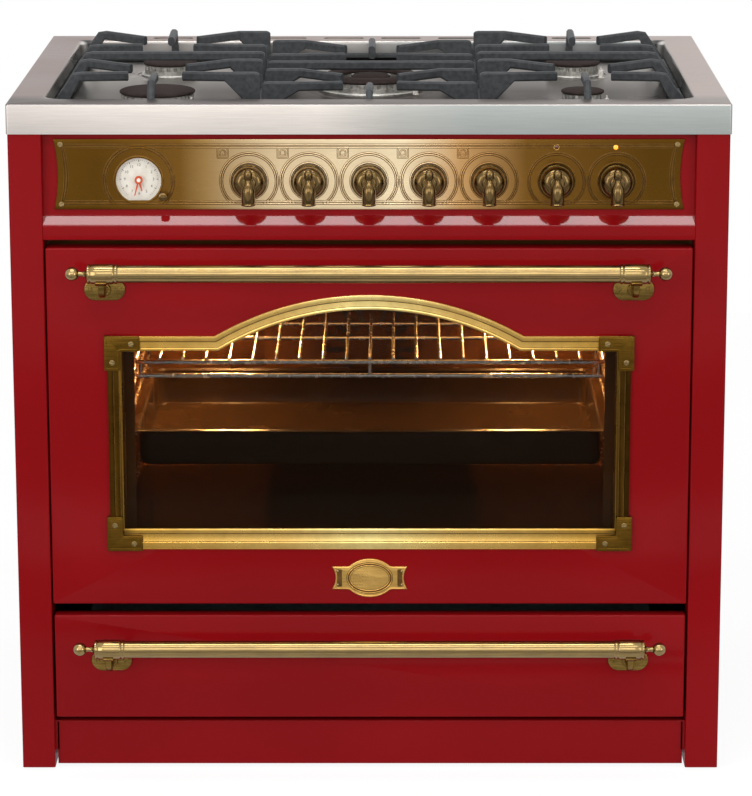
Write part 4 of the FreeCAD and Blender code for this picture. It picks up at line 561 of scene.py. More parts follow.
def hob_steel():
    """Brushed stainless steel with lines from side to side and painted reflections: pale on the skirt,
    painted lighter at its left and greyer at its right; greyer on the border, painted darker at the left
    and darker again in front of the basin; and darker again in the basin, with a painted pale reflection
    towards its far wall and a painted dark line of shade at that wall."""
    made = Finish("hob_steel", 1.0)
    made.shader.inputs["Specular Tint"].default_value = (0.6, 0.58, 0.57, 1)
    x, y, z = made.axes()
    half = 0.45
    along = made.between(x, 0.0, 1.0, -half, half)
    # Painted reflection on the skirt: lighter and warmer at the left, greyer at the right
    warm, neutral, cool = (222, 214, 206), (182, 181, 175), (165, 170, 167)
    skirt = made.ramp(along, [(0.02, (200, 192, 186)), (0.2, warm), (0.43, warm), (0.54, neutral),
                              (0.65, cool)])
    # Painted reflection on the border: darker at the left than at the right, and darker again in front of
    # the basin
    border = made.ramp(along, [(0.0, (172, 156, 152)), (1.0, (212, 198, 192))])
    near = made.ramp(along, [(0.0, (116, 110, 109)), (0.4, (122, 116, 115)), (0.7, (144, 138, 134)),
                             (1.0, (178, 170, 166))])
    left, right, near_wall, far_wall = (
        value * MM for value in (basin[0], basin[1], basin[2] + front, basin[3] + front))
    border = made.mix(made.between(y, 1.0, 0.0, near_wall - 0.004, near_wall + 0.03), border, near)
    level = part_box("hob_top")[1].z
    top = made.between(z, 0.0, 1.0, level - 0.0024, level - 0.0006)
    shifted = made.node("ShaderNodeMapping")
    shifted.inputs["Location"].default_value = [-(left + right) / 2, -(near_wall + far_wall) / 2, 0]
    made.join(made.place, shifted.inputs["Vector"])
    away = made.node("ShaderNodeVectorMath", operation="ABSOLUTE")
    made.join(shifted.outputs["Vector"], away.inputs[0])
    aside, behind, _ = made.axes(away.outputs[0])
    reaches = (right - left) / 2, (far_wall - near_wall) / 2
    inside = made.product(*(made.between(distance, 1.0, 0.0, reach - 0.004, reach + 0.002)
                            for distance, reach in zip((aside, behind), reaches)))
    # Painted light in the basin: tones that change along it, a painted pale reflection towards the far wall
    # and a painted dark line of shade at that wall
    painted_basin_light = made.ramp(along, [(0.05, (170, 168, 163)), (0.3, (118, 112, 108)), (0.6, (124, 119, 116)),
                             (0.8, (108, 104, 101)), (0.95, (156, 153, 149))])
    painted_basin_light = made.mix(made.between(y, 0.0, 1.0, near_wall + 0.25, far_wall - 0.06), painted_basin_light, (226, 222, 218))
    painted_basin_light = made.mix(made.between(y, 0.0, 1.0, far_wall - 0.014, far_wall - 0.008), painted_basin_light, (84, 82, 82))
    tone = made.mix(inside, made.mix(top, skirt, border), painted_basin_light)
    lines = made.noise(0.0008, (60, 1, 1), 3.0, 0.7)
    made.colour(made.mix(made.between(lines, 0.0, 0.22), tone, (120, 120, 120)))
    made.roughness(made.between(made.noise(0.12, (3, 1, 1), 3.0), 0.26, 0.36))
    made.bump(lines, 0.000012)
    return made.material


def tinted_glass():
    """Dark oven glass: mostly clear along the view, with a full mirror gloss."""
    made = Finish("oven_glass", 0.0, 0.0, 1.5)
    made.colour(made.ramp(made.noise(0.4, detail=1.0), [(0.3, (20, 12, 6)), (0.7, (28, 17, 8))]))
    made.shader.inputs["Roughness"].default_value = 0.02
    made.shader.inputs["Specular IOR Level"].default_value = 0.08
    made.shader.inputs["Alpha"].default_value = 0.2
    return made.material


def glow(name, colour, shine, strength):
    """Lit glass or lens: a tinted dome that also gives light."""
    made = Finish(name, 0.0, 0.6)
    marks = made.noise(0.002)
    tone = made.ramp(marks, [(0.3, colour), (0.7, shine)])
    made.colour(tone)
    made.shader.inputs["Roughness"].default_value = 0.15
    made.join(tone, made.shader.inputs["Emission Color"])
    made.shader.inputs["Emission Strength"].default_value = strength
    return made.material


ledge = (0.7185, 0.7292)
RED = red_enamel("red_enamel")
FASCIA_RED = red_enamel("fascia_enamel", ledge)
PLATE = plate_brass()
BRASS = window_brass()
STEEL = hob_steel()
GLASS = tinted_glass()

# Turned and stamped brass: dark and light tone, roughness, stretch of the scratches, patina, lacquer
CORNER_BRASS = brushed_brass("corner_brass", (84, 58, 14), (130, 96, 34), (0.25, 0.38), (20, 1, 1), 0.4)
BADGE_BRASS = brushed_brass("badge_brass", (200, 156, 80), (240, 194, 112), (0.25, 0.38), (20, 1, 1), 0.25)
BRACKET_BRASS = brushed_brass("bracket_brass", (104, 82, 38), (156, 128, 68), (0.22, 0.34), (20, 1, 1),
                              0.45)
POLISHED = brushed_brass("polished_brass", (128, 102, 48), (162, 136, 78), (0.14, 0.22), (30, 1, 1),
                         0.15, 1.0)
KNOB_BRASS = brushed_brass("knob_brass", (80, 60, 26), (122, 96, 48), (0.14, 0.24), (1, 1, 20), 0.3, 0.4)

# Other finishes: dark and light tone, metallic share, roughness, size of the marks, depth of the relief
# Dull dark brass laid in thin bands beside raised lines, along steps and between rings, as painted shade
PAINTED_SHADE_BRASS = plain_finish("patina", (84, 58, 24), (116, 84, 40), 0.8, (0.4, 0.55), 0.01)
IRON = plain_finish("cast_iron", (45, 47, 49), (66, 68, 70), 0.0, (0.5, 0.62), 0.006, 0.00003, shine=0.28)
CAP = plain_finish("cap_enamel", (46, 38, 36), (62, 53, 50), 0.0, (0.6, 0.7), 0.006, 0.00003, shine=0.02)
ALLOY = plain_finish("burner_alloy", (150, 148, 142), (196, 194, 188), 0.9, (0.34, 0.5), 0.005, 0.00003)
DARK = plain_finish("dark_enamel", (38, 25, 12), (43, 29, 14), 0.0, (0.2, 0.3), 0.1, coat=0.1, shine=0.15)
CAVITY = plain_finish("cavity_enamel", (88, 54, 22), (97, 60, 25), 0.0, (0.2, 0.26), 0.12, coat=0.12,
                      shine=0.2)
LINER = plain_finish("liner_enamel", (100, 60, 24), (110, 67, 28), 0.0, (0.24, 0.3), 0.12, coat=0.1,
                     shine=0.15)
ZINC = plain_finish("galvanised_steel", (138, 142, 144), (176, 180, 182), 0.85, (0.34, 0.5), 0.012,
                    0.00001)
RUBBER = plain_finish("seal_rubber", (20, 20, 20), (34, 34, 34), 0.0, (0.6, 0.75), 0.003, 0.00003)
CHROME = plain_finish("chrome_wire", (206, 202, 194), (236, 232, 224), 1.0, (0.2, 0.3), 0.01)
ELEMENT = plain_finish("element_steel", (62, 56, 52), (96, 88, 82), 0.8, (0.4, 0.55), 0.004, 0.00002)
VALVE = plain_finish("valve_alloy", (150, 146, 136), (190, 186, 176), 0.9, (0.32, 0.45), 0.004, 0.00003)
CERAMIC = plain_finish("spark_ceramic", (214, 210, 200), (236, 232, 224), 0.0, (0.2, 0.32), 0.002,
                       coat=0.3)
DIAL = plain_finish("dial_white", (226, 220, 206), (240, 236, 224), 0.0, (0.4, 0.5), 0.01, 0.00001)
INK = plain_finish("dial_ink", (60, 42, 30), (84, 60, 42), 0.0, (0.5, 0.6), 0.002)
HAND = plain_finish("hand_red", (188, 66, 22), (214, 84, 30), 0.0, (0.35, 0.45), 0.002)
# The unlit pilot's red lens still gives a faint painted glow
PILOT_RED = glow("pilot_red", (60, 8, 6), (90, 14, 10), 0.1)
PILOT_LIT = glow("pilot_lit", (255, 110, 20), (255, 170, 60), 1.6)
LAMP = glow("oven_lamp_glass", (255, 190, 110), (255, 220, 160), 8.0)


# Red casing: the sheet's thickness, and the outer radius of its folds

sheet, fold = 2.0, 2.2


def folded(profile, radii, x0, x1):
    """Sheet profile in (depth, height) carried from side to side."""
    return slab(filleted(profile, radii), x0, x1, ACROSS)


def make_sides():
    """Side panels: a folded sheet with rounded bends, seen as the outer side and the front post."""
    low, high = span("side_panel_right")
    post, post_return = 42.0, 44.0
    inner = high[0] - post
    plan = filleted([
        (high[0], 0), (high[0], high[1]), (high[0] - sheet, high[1]), (high[0] - sheet, sheet),
        (inner + sheet, sheet), (inner + sheet, post_return), (inner, post_return), (inner, 0),
    ], [fold, 0, 0, fold / 4, fold / 4, 0, 0, fold])
    panel = slab(plan, low[2], high[2], TALL)
    add("side_right", [(RED, panel)], "body", ["side_panel_right"])
    add("side_left", [(RED, mirrored(panel))], "body", ["side_panel_left"])


def make_plinth():
    """Kick plate: an angled sheet with a rounded top bend, and its side tabs."""
    low, high = span("plinth")
    tab_drop, gap = 40.0, 3.0
    side = high[0] - gap
    profile = [(low[1], low[2]), (low[1], high[2]), (high[1], high[2]), (high[1], high[2] - sheet),
               (low[1] + sheet, high[2] - sheet), (low[1] + sheet, low[2])]
    plate = folded(profile, [0, fold, 0, 0, fold / 4, 0], -side, side)
    tab = box(side - sheet, high[0], low[1], high[1], high[2] - tab_drop, high[2])
    add("kick_plate", [(RED, merged([plate] + both_sides(tab)))], "body", ["plinth"])


def make_drawer_front():
    """Drawer front with a soft rounded rim."""
    low, high = span("drawer_front")
    plate = slab(filleted(front_of(low, high), fold), low[1], high[1], DEEP, fold)
    add("drawer_face", [(RED, plate)], "drawer", ["drawer_front"])


def disc_cutter(x, z, dia, d0, d1, steps=48):
    """Round cutter along the depth."""
    return slab(circle(x, z, dia / 2, steps), d0, d1, DEEP)


pivots = {joint["name"]: joint.get("pos_m") for joint in frame["record"]["behaviour"]["joints"]}
knob_x = [middle("control_knob_%d" % number)[0] for number in range(1, 8)]
knob_z = middle("tap_spindle_1")[2]
spindle_hole, dial_dia = 14.0, 60.0
clock_x, _, clock_z = (value / MM for value in pivots["minute_turn"])


def make_fascia():
    """Control fascia: recessed face, sloping ledge and lower lip, with holes behind the plate."""
    low, high = span("control_fascia")
    recess, ledge_top, ledge_bottom = 12.0, 730.0, 719.0
    lip, rear = low[1], high[1]
    profile = [(recess, high[2]), (recess, ledge_top), (lip, ledge_bottom), (lip, low[2]), (rear, low[2]),
               (rear, low[2] + sheet), (lip + sheet, low[2] + sheet),
               (lip + sheet, ledge_bottom - sheet / 2), (recess + sheet, ledge_top - sheet / 2),
               (recess + sheet, high[2])]
    face = folded(profile, [0, 3, 3, fold, 0, 0, 0, 2, 2, 0], low[0], high[0])
    past = 3.0
    reach = recess - past, recess + sheet + past
    cutters = [disc_cutter(x, knob_z, spindle_hole, *reach) for x in knob_x]
    cutters.append(disc_cutter(clock_x, clock_z, dial_dia, *reach))
    add("fascia", [(FASCIA_RED, carved(face, cutters))], "body", ["control_fascia"])


make_sides()
make_plinth()
make_drawer_front()
make_fascia()


# Brass control plate

def make_plate():
    """Control plate: a slab whose ends curve in between pointed corners, with raised lines, two rings
    round each knob, three round the clock and a small window mark left of each gas knob."""
    low, high = span("control_plate")
    rise, line, waist, past = 0.7, 1.6, 5.0, 2.0
    face, rear = low[1] + rise, high[1]
    centre_z, half_tall = middle("control_plate")[2], (high[2] - low[2]) / 2
    radius = (waist ** 2 + half_tall ** 2) / (2 * waist)
    reach = math.degrees(math.asin(half_tall / radius))

    def outline(side, end):
        """Plate outline drawn in by a side and an end distance."""
        right = arc(high[0] - side - waist + radius, centre_z, radius, 180 + reach, 180 - reach, 16)
        right[:, 1] = centre_z + (right[:, 1] - centre_z) * (1 - end / half_tall)
        return np.concatenate((right, right[::-1] * np.array((-1, 1))))

    border_side, border_end, border_gap = 9.0, 7.0, 3.2
    low_line = low[2] + border_end
    angle = math.degrees(math.asin((clock_z - low_line - line) / (dial_dia / 2)))
    opening = arc(clock_x, clock_z, dial_dia / 2, -angle, 180 + angle, 48)
    cutters = [disc_cutter(x, knob_z, spindle_hole, face - past, rear + past) for x in knob_x]
    cutters.append(slab(opening, face - past, rear + past, DEEP))
    shapes = [carved(slab(outline(0, 0), face, rear, DEEP, 0.5), cutters)]
    shades = []

    def drawn(path, width, height, closed=True):
        """Raised line with a band of dull brass under it that shows along both edges as painted shade."""
        shapes.append(ridge(path, face, width, height, closed=closed))
        shades.append(ridge(path, face, width + 1.2, 0.1, closed=closed))

    def cut_ring(x, z, dia):
        """Raised ring that stops at the plate's lower line."""
        drop = (z - low_line) / (dia / 2)
        if drop >= 1:
            drawn(circle(x, z, dia / 2, 72), line, rise)
            return
        stop = math.degrees(math.asin(drop))
        drawn(arc(x, z, dia / 2, -stop, 180 + stop, 60), line, rise, False)

    for gap in (0.0, border_gap):
        drawn(outline(border_side + gap, border_end + gap), line, rise)
    for x in knob_x:
        for dia in (72.0, 67.2, 46.4):
            cut_ring(x, knob_z, dia)
    for dia in (88.4, 82.4):
        cut_ring(clock_x, clock_z, dia)
    drawn(opening, 2.2, rise)
    mark, offset, mark_z = 14.5, 32.7, 810.0
    for x in knob_x[:5]:
        for half in (mark / 2 - line / 2, mark / 2 - 2.4 * line):
            square = rectangle(x - offset - half, x - offset + half, mark_z - half, mark_z + half)
            drawn(filleted(square, [0.4, 0.4, 3.0, 3.0], 4), 0.9, rise * 0.8)
        dot = [(0, 0), (-0.5, 0), (-0.35, 1.0), (0, 1.4)]
        shapes.append(lathe(dot, (x - offset, face, mark_z), DEEP, 16))
    scale = 27.5
    for x in knob_x[5:]:
        shapes.append(moon(x, knob_z + scale, face))
        shapes += ticks(x, knob_z, scale, face)
    add("brass_plate", [(PLATE, merged(shapes)), (PAINTED_SHADE_BRASS, merged(shades))], "body",
        ["control_plate"])


def moon(x, z, face):
    """Small crescent between two arcs at the top of a ring."""
    outer = arc(x, z, 3.2, 20, 200, 12)
    inner = arc(x + 0.9, z - 0.7, 2.6, 200, 20, 12)
    return slab(np.concatenate((outer, inner)), face - 0.4, face + 0.2, DEEP)


def ticks(x, z, radius, face):
    """Short raised strokes round an oven knob, evenly turned on its right and on its left."""
    half_long, half_wide = 1.6, 0.4
    stroke = box(x + radius - half_long, x + radius + half_long, face - 0.35, face + 0.2,
                 z - half_wide, z + half_wide)
    centre = np.array((x, face, z))
    return [turned(stroke, math.radians(turn), centre, DEEP)
            for turn in (*range(-40, 60, 20), *range(130, 221, 20))]


def slotted_screw(x, z, face, dia, rise, angle):
    """Screw head: a thin disc with two half-moons that leave a slot between them."""
    half, slot = dia / 2, 0.55
    stop = math.degrees(math.asin(slot / half))
    cap = arc(0, 0, half, stop, 180 - stop, 20)
    shapes = [lathe([(0.2, 0), (0.2, half), (-rise * 0.45, half), (-rise * 0.45, 0)], (0, 0, 0), DEEP, 32)]
    for flip in (1, -1):
        shapes.append(slab(cap * np.array((flip, flip)), -rise, 0, DEEP, 0.3))
    head = turned(merged(shapes), math.radians(angle), np.zeros(3), DEEP)
    return moved(head, x, face, z)


def make_plate_screws():
    """Four slotted screws at the plate's corners."""
    low, high = span("plate_screws")
    dia, rise = 7.0, 1.5
    places = [(side * (high[0] - dia / 2), z) for side in (-1, 1)
              for z in (low[2] + dia / 2, high[2] - dia / 2)]
    heads = [slotted_screw(x, z, low[1] + rise, dia, rise, 20 + 35 * count)
             for count, (x, z) in enumerate(places)]
    add("plate_screw_heads", [(POLISHED, merged(heads))], "body", ["plate_screws"])


def make_pilots():
    """Two domed indicator lamps with thin bezels; the left is off, with only a faint painted glow in its
    lens, and the right is lit.
    """
    low, high = span("indicator_lamps")
    half, lens, rise, rear = 3.5, 3.0, 1.5, 8.0
    face, z = low[1] + 1.6, middle("indicator_lamps")[2]
    angles = np.radians(np.linspace(0, 90, 8))
    dome = [(-rise * math.cos(turn), lens * math.sin(turn)) for turn in angles] + [(rear, lens), (rear, 0)]
    bezel = [(0.4, lens), (-0.9, lens), (-1.0, lens + 0.3), (-0.9, half), (0.4, half)]
    for name, x, glass in (("pilot_left", low[0] + half, PILOT_RED),
                           ("pilot_right", high[0] - half, PILOT_LIT)):
        shapes = [(glass, lathe(dome, (x, face, z), DEEP, 32)),
                  (BRASS, lathe(bezel, (x, face, z), DEEP, 32, closed=True))]
        add(name, shapes, "body", ["indicator_lamps"])


def knob_shape(x):
    """Turned knob: rimmed flange, bell-shaped dome and hub, and a turned lever across its end."""
    low, high = span("control_knob_1")
    back, lever_d = high[1], low[1] + 19.0 / 2
    flange, hub = 21.5, 7.4
    bell_back, bell_deep, bell_small, bell_flare = back - 3.0, 12.5, 9.6, 10.4
    profile = [(back, 0), (back, flange - 0.9), (back - 0.9, flange), (back - 2.1, flange),
               (bell_back, flange - 0.8)]
    for turn in np.radians(np.linspace(0, 90, 12)):
        profile.append((bell_back - bell_deep * math.sin(turn), bell_small + bell_flare * math.cos(turn)))
    profile += [(back - 16.4, 9.0), (back - 17.2, hub), (lever_d, hub), (lever_d, 0)]
    lever = [(20.0, 0), (19.6, 2.2), (18.4, 3.9), (16.6, 5.1), (14.0, 5.5), (9.0, 5.5), (7.8, 5.1),
             (7.2, 4.0), (6.6, 3.5), (4.0, 3.5), (3.2, 4.0), (1.0, 5.3), (-3.0, 7.2), (-6.0, 8.2),
             (-9.0, 8.5), (-21.5, 8.5), (-22.4, 8.3), (-22.8, 8.1), (-23.4, 8.9), (-24.2, 9.5),
             (-25.2, 9.2), (-26.0, 7.8), (-26.0, 5.0), (-25.4, 4.2), (-25.4, 0)]
    return merged([lathe(profile, (x, 0, knob_z), DEEP, 64), lathe(lever, (x, lever_d, knob_z), TALL, 40)])


def make_knobs():
    """Seven knobs, each on its own body."""
    for number, x in enumerate(knob_x, 1):
        add("knob_%d_turned" % number, [(KNOB_BRASS, knob_shape(x))], "knob_%d" % number,
            ["control_knob_%d" % number])


def make_clock():
    """Dial in front of the clock's plain one, with a tick for each minute and the numbers of the hours."""
    face, cut_z = 18.0, 747.0
    reach = dial_dia / 2 - 0.1
    centre = np.array((clock_x, face, clock_z))
    angle = math.degrees(math.asin((clock_z - cut_z) / reach))
    sheet_dial = slab(arc(clock_x, clock_z, reach, -angle, 180 + angle, 64), face - 0.4, face, DEEP)
    marks = []
    tick_end, number_reach, lowest = clock_z + reach - 5.2, 18.0, cut_z + 3
    for count in range(60):
        turn = math.radians(count * 6)
        half_wide, long = (0.42, 2.6) if count % 5 == 0 else (0.2, 1.2)
        if clock_z + reach * math.cos(turn) >= lowest:
            stroke = box(clock_x - half_wide, clock_x + half_wide, face - 0.5, face - 0.3,
                         tick_end - long, tick_end)
            marks.append(turned(stroke, turn, centre, DEEP))
    for hour in range(1, 13):
        turn = math.radians(hour * 30)
        x, z = clock_x + number_reach * math.sin(turn), clock_z + number_reach * math.cos(turn)
        if z > lowest:
            marks.append(number_shape(str(hour), 5.0, x, face - 0.4, z))
    add("dial_face", [(DIAL, sheet_dial), (INK, merged(marks))], "body")


def number_shape(text, size, x, face, z):
    """Raised number from the built-in font, centred on a place."""
    curve = bpy.data.curves.new("number", "FONT")
    curve.body = text
    curve.size = size
    curve.extrude = 0.05
    curve.align_x = "CENTER"
    curve.align_y = "CENTER"
    curve.resolution_u = 3
    holder = bpy.data.objects.new("number", curve)
    bpy.context.scene.collection.objects.link(holder)
    mesh = bpy.data.meshes.new_from_object(holder.evaluated_get(bpy.context.evaluated_depsgraph_get()))
    points, faces = shape_of(mesh)
    bpy.data.objects.remove(holder)
    bpy.data.meshes.remove(mesh)
    return np.stack((x + points[:, 0], face - points[:, 2], z + points[:, 1]), axis=1), faces


def make_setting_knob():
    """Small setting knob with a rounded end and grip grooves round it."""
    low, high = span("clock_setting_knob")
    start, end = low[1], high[1]
    x, _, z = middle("clock_setting_knob")
    profile = np.array([(start, 0), (start, 3.6), (start + 0.5, 4.8), (start + 1.6, 5.4), (start + 9, 5.5),
                        (start + 11.6, 5.5), (start + 11.9, 5.0), (start + 11.9, 2.0), (end, 2.0),
                        (end, 0)])
    steps, grooves, groove = 96, 24, 0.35
    angles = np.arange(steps) * 2 * math.pi / steps
    radius = np.repeat(profile[:, 1:], steps, axis=1)
    radius[3:6] -= groove * (0.5 + 0.5 * np.cos(grooves * angles))
    rings = np.stack((x + radius * np.cos(angles), np.repeat(profile[:, :1], steps, axis=1),
                      z + radius * np.sin(angles)), axis=-1)
    add("setting_knob", [(KNOB_BRASS, grid(rings))], "clock_knob", ["clock_setting_knob"])


make_plate()
make_plate_screws()
make_pilots()
make_knobs()
make_clock()
make_setting_knob()


# Door: heights of the middle of the window's arch and of its shoulders, and the moulding's widths

arch_z, frame_shoulder = 245.5, 577.7
strip_side, strip_top, strip_bottom = 18.0, 19.0, 26.5


def arched(half, low, shoulder, radius, steps=40):
    """Window outline: bottom, side, shoulder and arch, each with its own fixed number of points, so that
    two outlines of different size match point by point."""
    kink = math.sqrt(radius ** 2 - (shoulder - arch_z) ** 2)
    turn = math.degrees(math.acos(kink / radius))
    top = arc(0, arch_z, radius, turn, 180 - turn, steps)
    points = [(-half, low), (half, low), (half, shoulder)]
    return np.concatenate((np.array(points), top, np.array([(-half, shoulder)])))


def matched(outer, inner, centre):
    """Two outlines round one centre, both cut by the rays through every point of either one."""
    def polar(outline):
        """Angle of each point seen from the centre."""
        away = outline - centre
        return np.arctan2(away[:, 1], away[:, 0])
    angles = np.concatenate((polar(outer), polar(inner)))
    angles = np.where(angles > math.pi - 2 * TINY, angles - 2 * math.pi, angles)
    angles = np.unique(np.round(angles, 5))

    def along(outline):
        """Where each ray leaves the outline: the furthest of its crossings with the edges."""
        start = outline - centre
        edge = np.roll(start, -1, axis=0) - start
        ray = np.stack((np.cos(angles), np.sin(angles)), axis=1)
        cross = ray[:, None, 0] * edge[None, :, 1] - ray[:, None, 1] * edge[None, :, 0]
        safe = np.where(np.abs(cross) < TINY, TINY, cross)
        share = (start[None, :, 0] * ray[:, None, 1] - start[None, :, 1] * ray[:, None, 0]) / safe
        reach = (start[None, :, 0] * edge[None, :, 1] - start[None, :, 1] * edge[None, :, 0]) / safe
        hit = (share > -MM) & (share < 1 + MM) & (reach > 0) & (np.abs(cross) >= TINY)
        length = np.where(hit, reach, 0).max(axis=1)
        return centre + ray * length[:, None]
    return along(outer), along(inner)


def frame_line(side, top, bottom):
    """Line round the window, drawn in from the frame's outer edge."""
    low, high = span("window_frame")
    return arched(high[0] - side, low[2] + bottom, frame_shoulder - top, high[2] - arch_z - top)


def make_door_skin():
    """Door skin: rounded face with the arched hole, folded edges and notches for the hinge arms."""
    low, high = span("door_panel")
    margin = 6.0
    hole = frame_line(strip_side - margin, strip_top - margin, strip_bottom - margin)
    centre = np.array((0.0, 440.0))
    outer, inner = matched(filleted(front_of(low, high), fold, 4), hole, centre)
    rows = [standing(outer, high[1], DEEP)]
    rows += [standing(inset(outer, inward), level, DEEP) for inward, level in reversed(quarter(fold, 4))]
    rows += [standing(inner, 0, DEEP), standing(inner, sheet, DEEP)]
    rows += [standing(inset(outer, sheet), level, DEEP) for level in (sheet, high[1])]
    arm, arm_half, arm_front, notch_tall, past = 360.0, 7.0, 6.0, 16.6, 5.0
    notch = box(arm - arm_half, arm + arm_half, arm_front, high[1] + past, low[2] - past,
                low[2] + notch_tall)
    skin = carved(grid(np.array(rows), wrap_rows=True), both_sides(notch))
    add("door_skin", [(RED, skin)], "door", ["door_panel"])


def make_window_frame():
    """Window moulding: across its width the outer lip stands 5 mm high, steps down to 3 mm and rolls
    over a small bead at the glass, with two thin dull lines of painted shade along the steps."""
    outer, inner = frame_line(0, 0, 0), frame_line(strip_side, strip_top, strip_bottom)

    def swept_strip(across):
        """Ring round the window through (share of the width, height) pairs."""
        rings = [standing(outer + (inner - outer) * share, -rise, DEEP) for share, rise in across]
        return grid(np.array(rings), wrap_rows=True)

    moulding = swept_strip([
        (0.0, 0.0), (0.0, 4.4), (0.03, 4.9), (0.08, 5.0), (0.26, 5.0), (0.32, 4.7), (0.35, 3.4),
        (0.38, 3.0), (0.72, 3.0), (0.78, 3.1), (0.84, 3.7), (0.91, 3.8), (0.97, 3.3), (1.0, 2.4),
        (1.0, 0.0)])
    lines = [swept_strip([(start, level - 0.6), (start, level), (end, level), (end, level - 0.6)])
             for start, end, level in ((0.345, 0.395, 3.3), (0.745, 0.795, 3.15))]
    add("window_moulding", [(BRASS, moulding), (PAINTED_SHADE_BRASS, merged(lines))], "door",
        ["window_frame"])


def corner_places():
    """Outer corner of the two right-hand corner plates, each with the way that its upright leg runs."""
    low, high = span("window_corners")
    return high[0], ((high[2], -1), (low[2], 1))


def make_corners():
    """Four L-shaped corner plates with rounded corners, a folded outer lip and a raised inner line."""
    leg, band, lip, thick = 45.0, 20.0, 3.7, 1.8
    face = span("window_corners")[0][1]
    seat = face + thick
    x, places = corner_places()
    shapes = []
    for z, way in places:
        end, notch = z + way * leg, z + way * band
        outline = filleted([(x, z), (x, end), (x - band, end), (x - band, notch), (x - leg, notch),
                            (x - leg, z)], [4, 2.5, 2.5, 2, 2.5, 2.5], 5)
        shapes += both_sides(slab(outline, face, seat, DEEP, 0.7))
        shapes += both_sides(box(x - lip, x, seat, 0, min(z, end), max(z, end)))
        shapes += both_sides(ridge(inset(outline, 3.0), face, 1.0, 0.4, closed=True))
    add("corner_plates", [(CORNER_BRASS, merged(shapes))], "door", ["window_corners"])


def make_door_screws():
    """Two slotted screws on each corner plate, and the badge's four rivets."""
    face = span("window_corners")[0][1]
    x, places = corner_places()
    near, far = 10.0, 34.0
    spots = [spot for z, way in places for spot in ((x - far, z + way * near), (x - near, z + way * far))]
    heads = [slotted_screw(side * at, z, face, 7.0, 1.5, 30 + 50 * count * side)
             for count, (at, z) in enumerate(spots) for side in (-1, 1)]
    dome = [(-3.5, 0), (-3.4, 0.8), (-3.0, 1.5), (-2.5, 1.8), (-2.2, 1.8), (-2.2, 0)]
    aside, above = 41.0, 9.0
    for side in (-1, 1):
        for way in (-1, 1):
            heads.append(lathe(dome, (side * aside, 0, badge_z + way * above), DEEP, 20))
    add("door_screw_heads", [(POLISHED, merged(heads))], "door", ["door_screws"])


badge_z = middle("badge_plate")[2]


def oval(half_x, half_z, steps=64):
    """Ellipse outline round the middle of the badge."""
    return circle(0, 0, 1.0, steps) * np.array((half_x, half_z)) + np.array((0, badge_z))


def badge_outline(margin=0.0):
    """Outline of the badge's plate, drawn in by a margin: the further out of an oval and of a tab whose
    two ends are hollow arcs, along each ray from the middle."""
    half, tab, bite = span("badge_plate")[1][0], 15.0, 4.5
    radius = (bite ** 2 + tab ** 2) / (2 * bite)
    reach = math.degrees(math.asin((tab - margin) / (radius + margin)))
    right = arc(half - bite + radius, badge_z, radius + margin, 180 + reach, 180 - reach, 10)
    centre = np.array((0.0, badge_z))
    tabs, egg = matched(np.concatenate((right, right[::-1] * np.array((-1, 1)))),
                        oval(32.5 - margin, 25.5 - margin), centre)
    farther = np.linalg.norm(tabs - centre, axis=1) > np.linalg.norm(egg - centre, axis=1)
    return np.where(farther[:, None], tabs, egg)


def make_badge():
    """Bare badge: a plate with drawn-in ends behind an oval with a raised ring."""
    face = -2.5
    shapes = [slab(badge_outline(), face, 0, DEEP, 0.5),
              ridge(badge_outline(1.3), face, 1.4, 0.6, closed=True)]
    shapes += [ridge(oval(wide, tall), face, 1.2, rise, closed=True)
               for wide, tall, rise in ((28.5, 19.5, 1.2), (25.6, 16.8, 0.6))]
    # Painted shade: a dark band between the oval rings, and dark patches on the tabs where recesses would
    # be
    shades = [ridge(oval(27.1, 18.2), face, 5.4, 0.12, closed=True)]
    aside, half_wide, half_tall = 38.6, 3.2, 11.6
    recess = filleted(rectangle(aside - half_wide, aside + half_wide, badge_z - half_tall,
                                badge_z + half_tall), 1.6, 4)
    shades += both_sides(slab(recess, face - 0.12, face + 0.2, DEEP))
    add("bare_badge", [(BADGE_BRASS, merged(shapes)), (PAINTED_SHADE_BRASS, merged(shades))], "door",
        ["badge_plate"])


def handle_bar(axis_d, axis_z):
    """Turned bar: plain round middle, grooved collars, waisted necks and end balls."""
    half = [(0, 11.25), (306, 11.25), (310.5, 11.25), (311.5, 11.9), (312.3, 12.5), (314.2, 12.65),
            (315, 12.2), (315.8, 11.7), (316.6, 12.2), (317.4, 12.65), (343.6, 12.65), (344.4, 12.2),
            (345.2, 11.7), (346, 12.2), (346.8, 12.65), (348.4, 12.5), (349, 11.8), (350.4, 7.0),
            (352, 4.6), (354, 3.4), (356, 3.0), (358, 3.0), (359.6, 3.6)]
    ball, centre, neck = 17.7 / 2, 368.0, 3.6
    start = 180 - math.degrees(math.asin(neck / ball))
    half = np.concatenate((half, arc(centre, 0, ball, start, 0, 13)))
    profile = np.concatenate((half[::-1] * np.array((-1, 1)), half[1:]))
    profile[0, 1] = profile[-1, 1] = 0.0
    return lathe(profile, (0, axis_d, axis_z), ACROSS, 48)


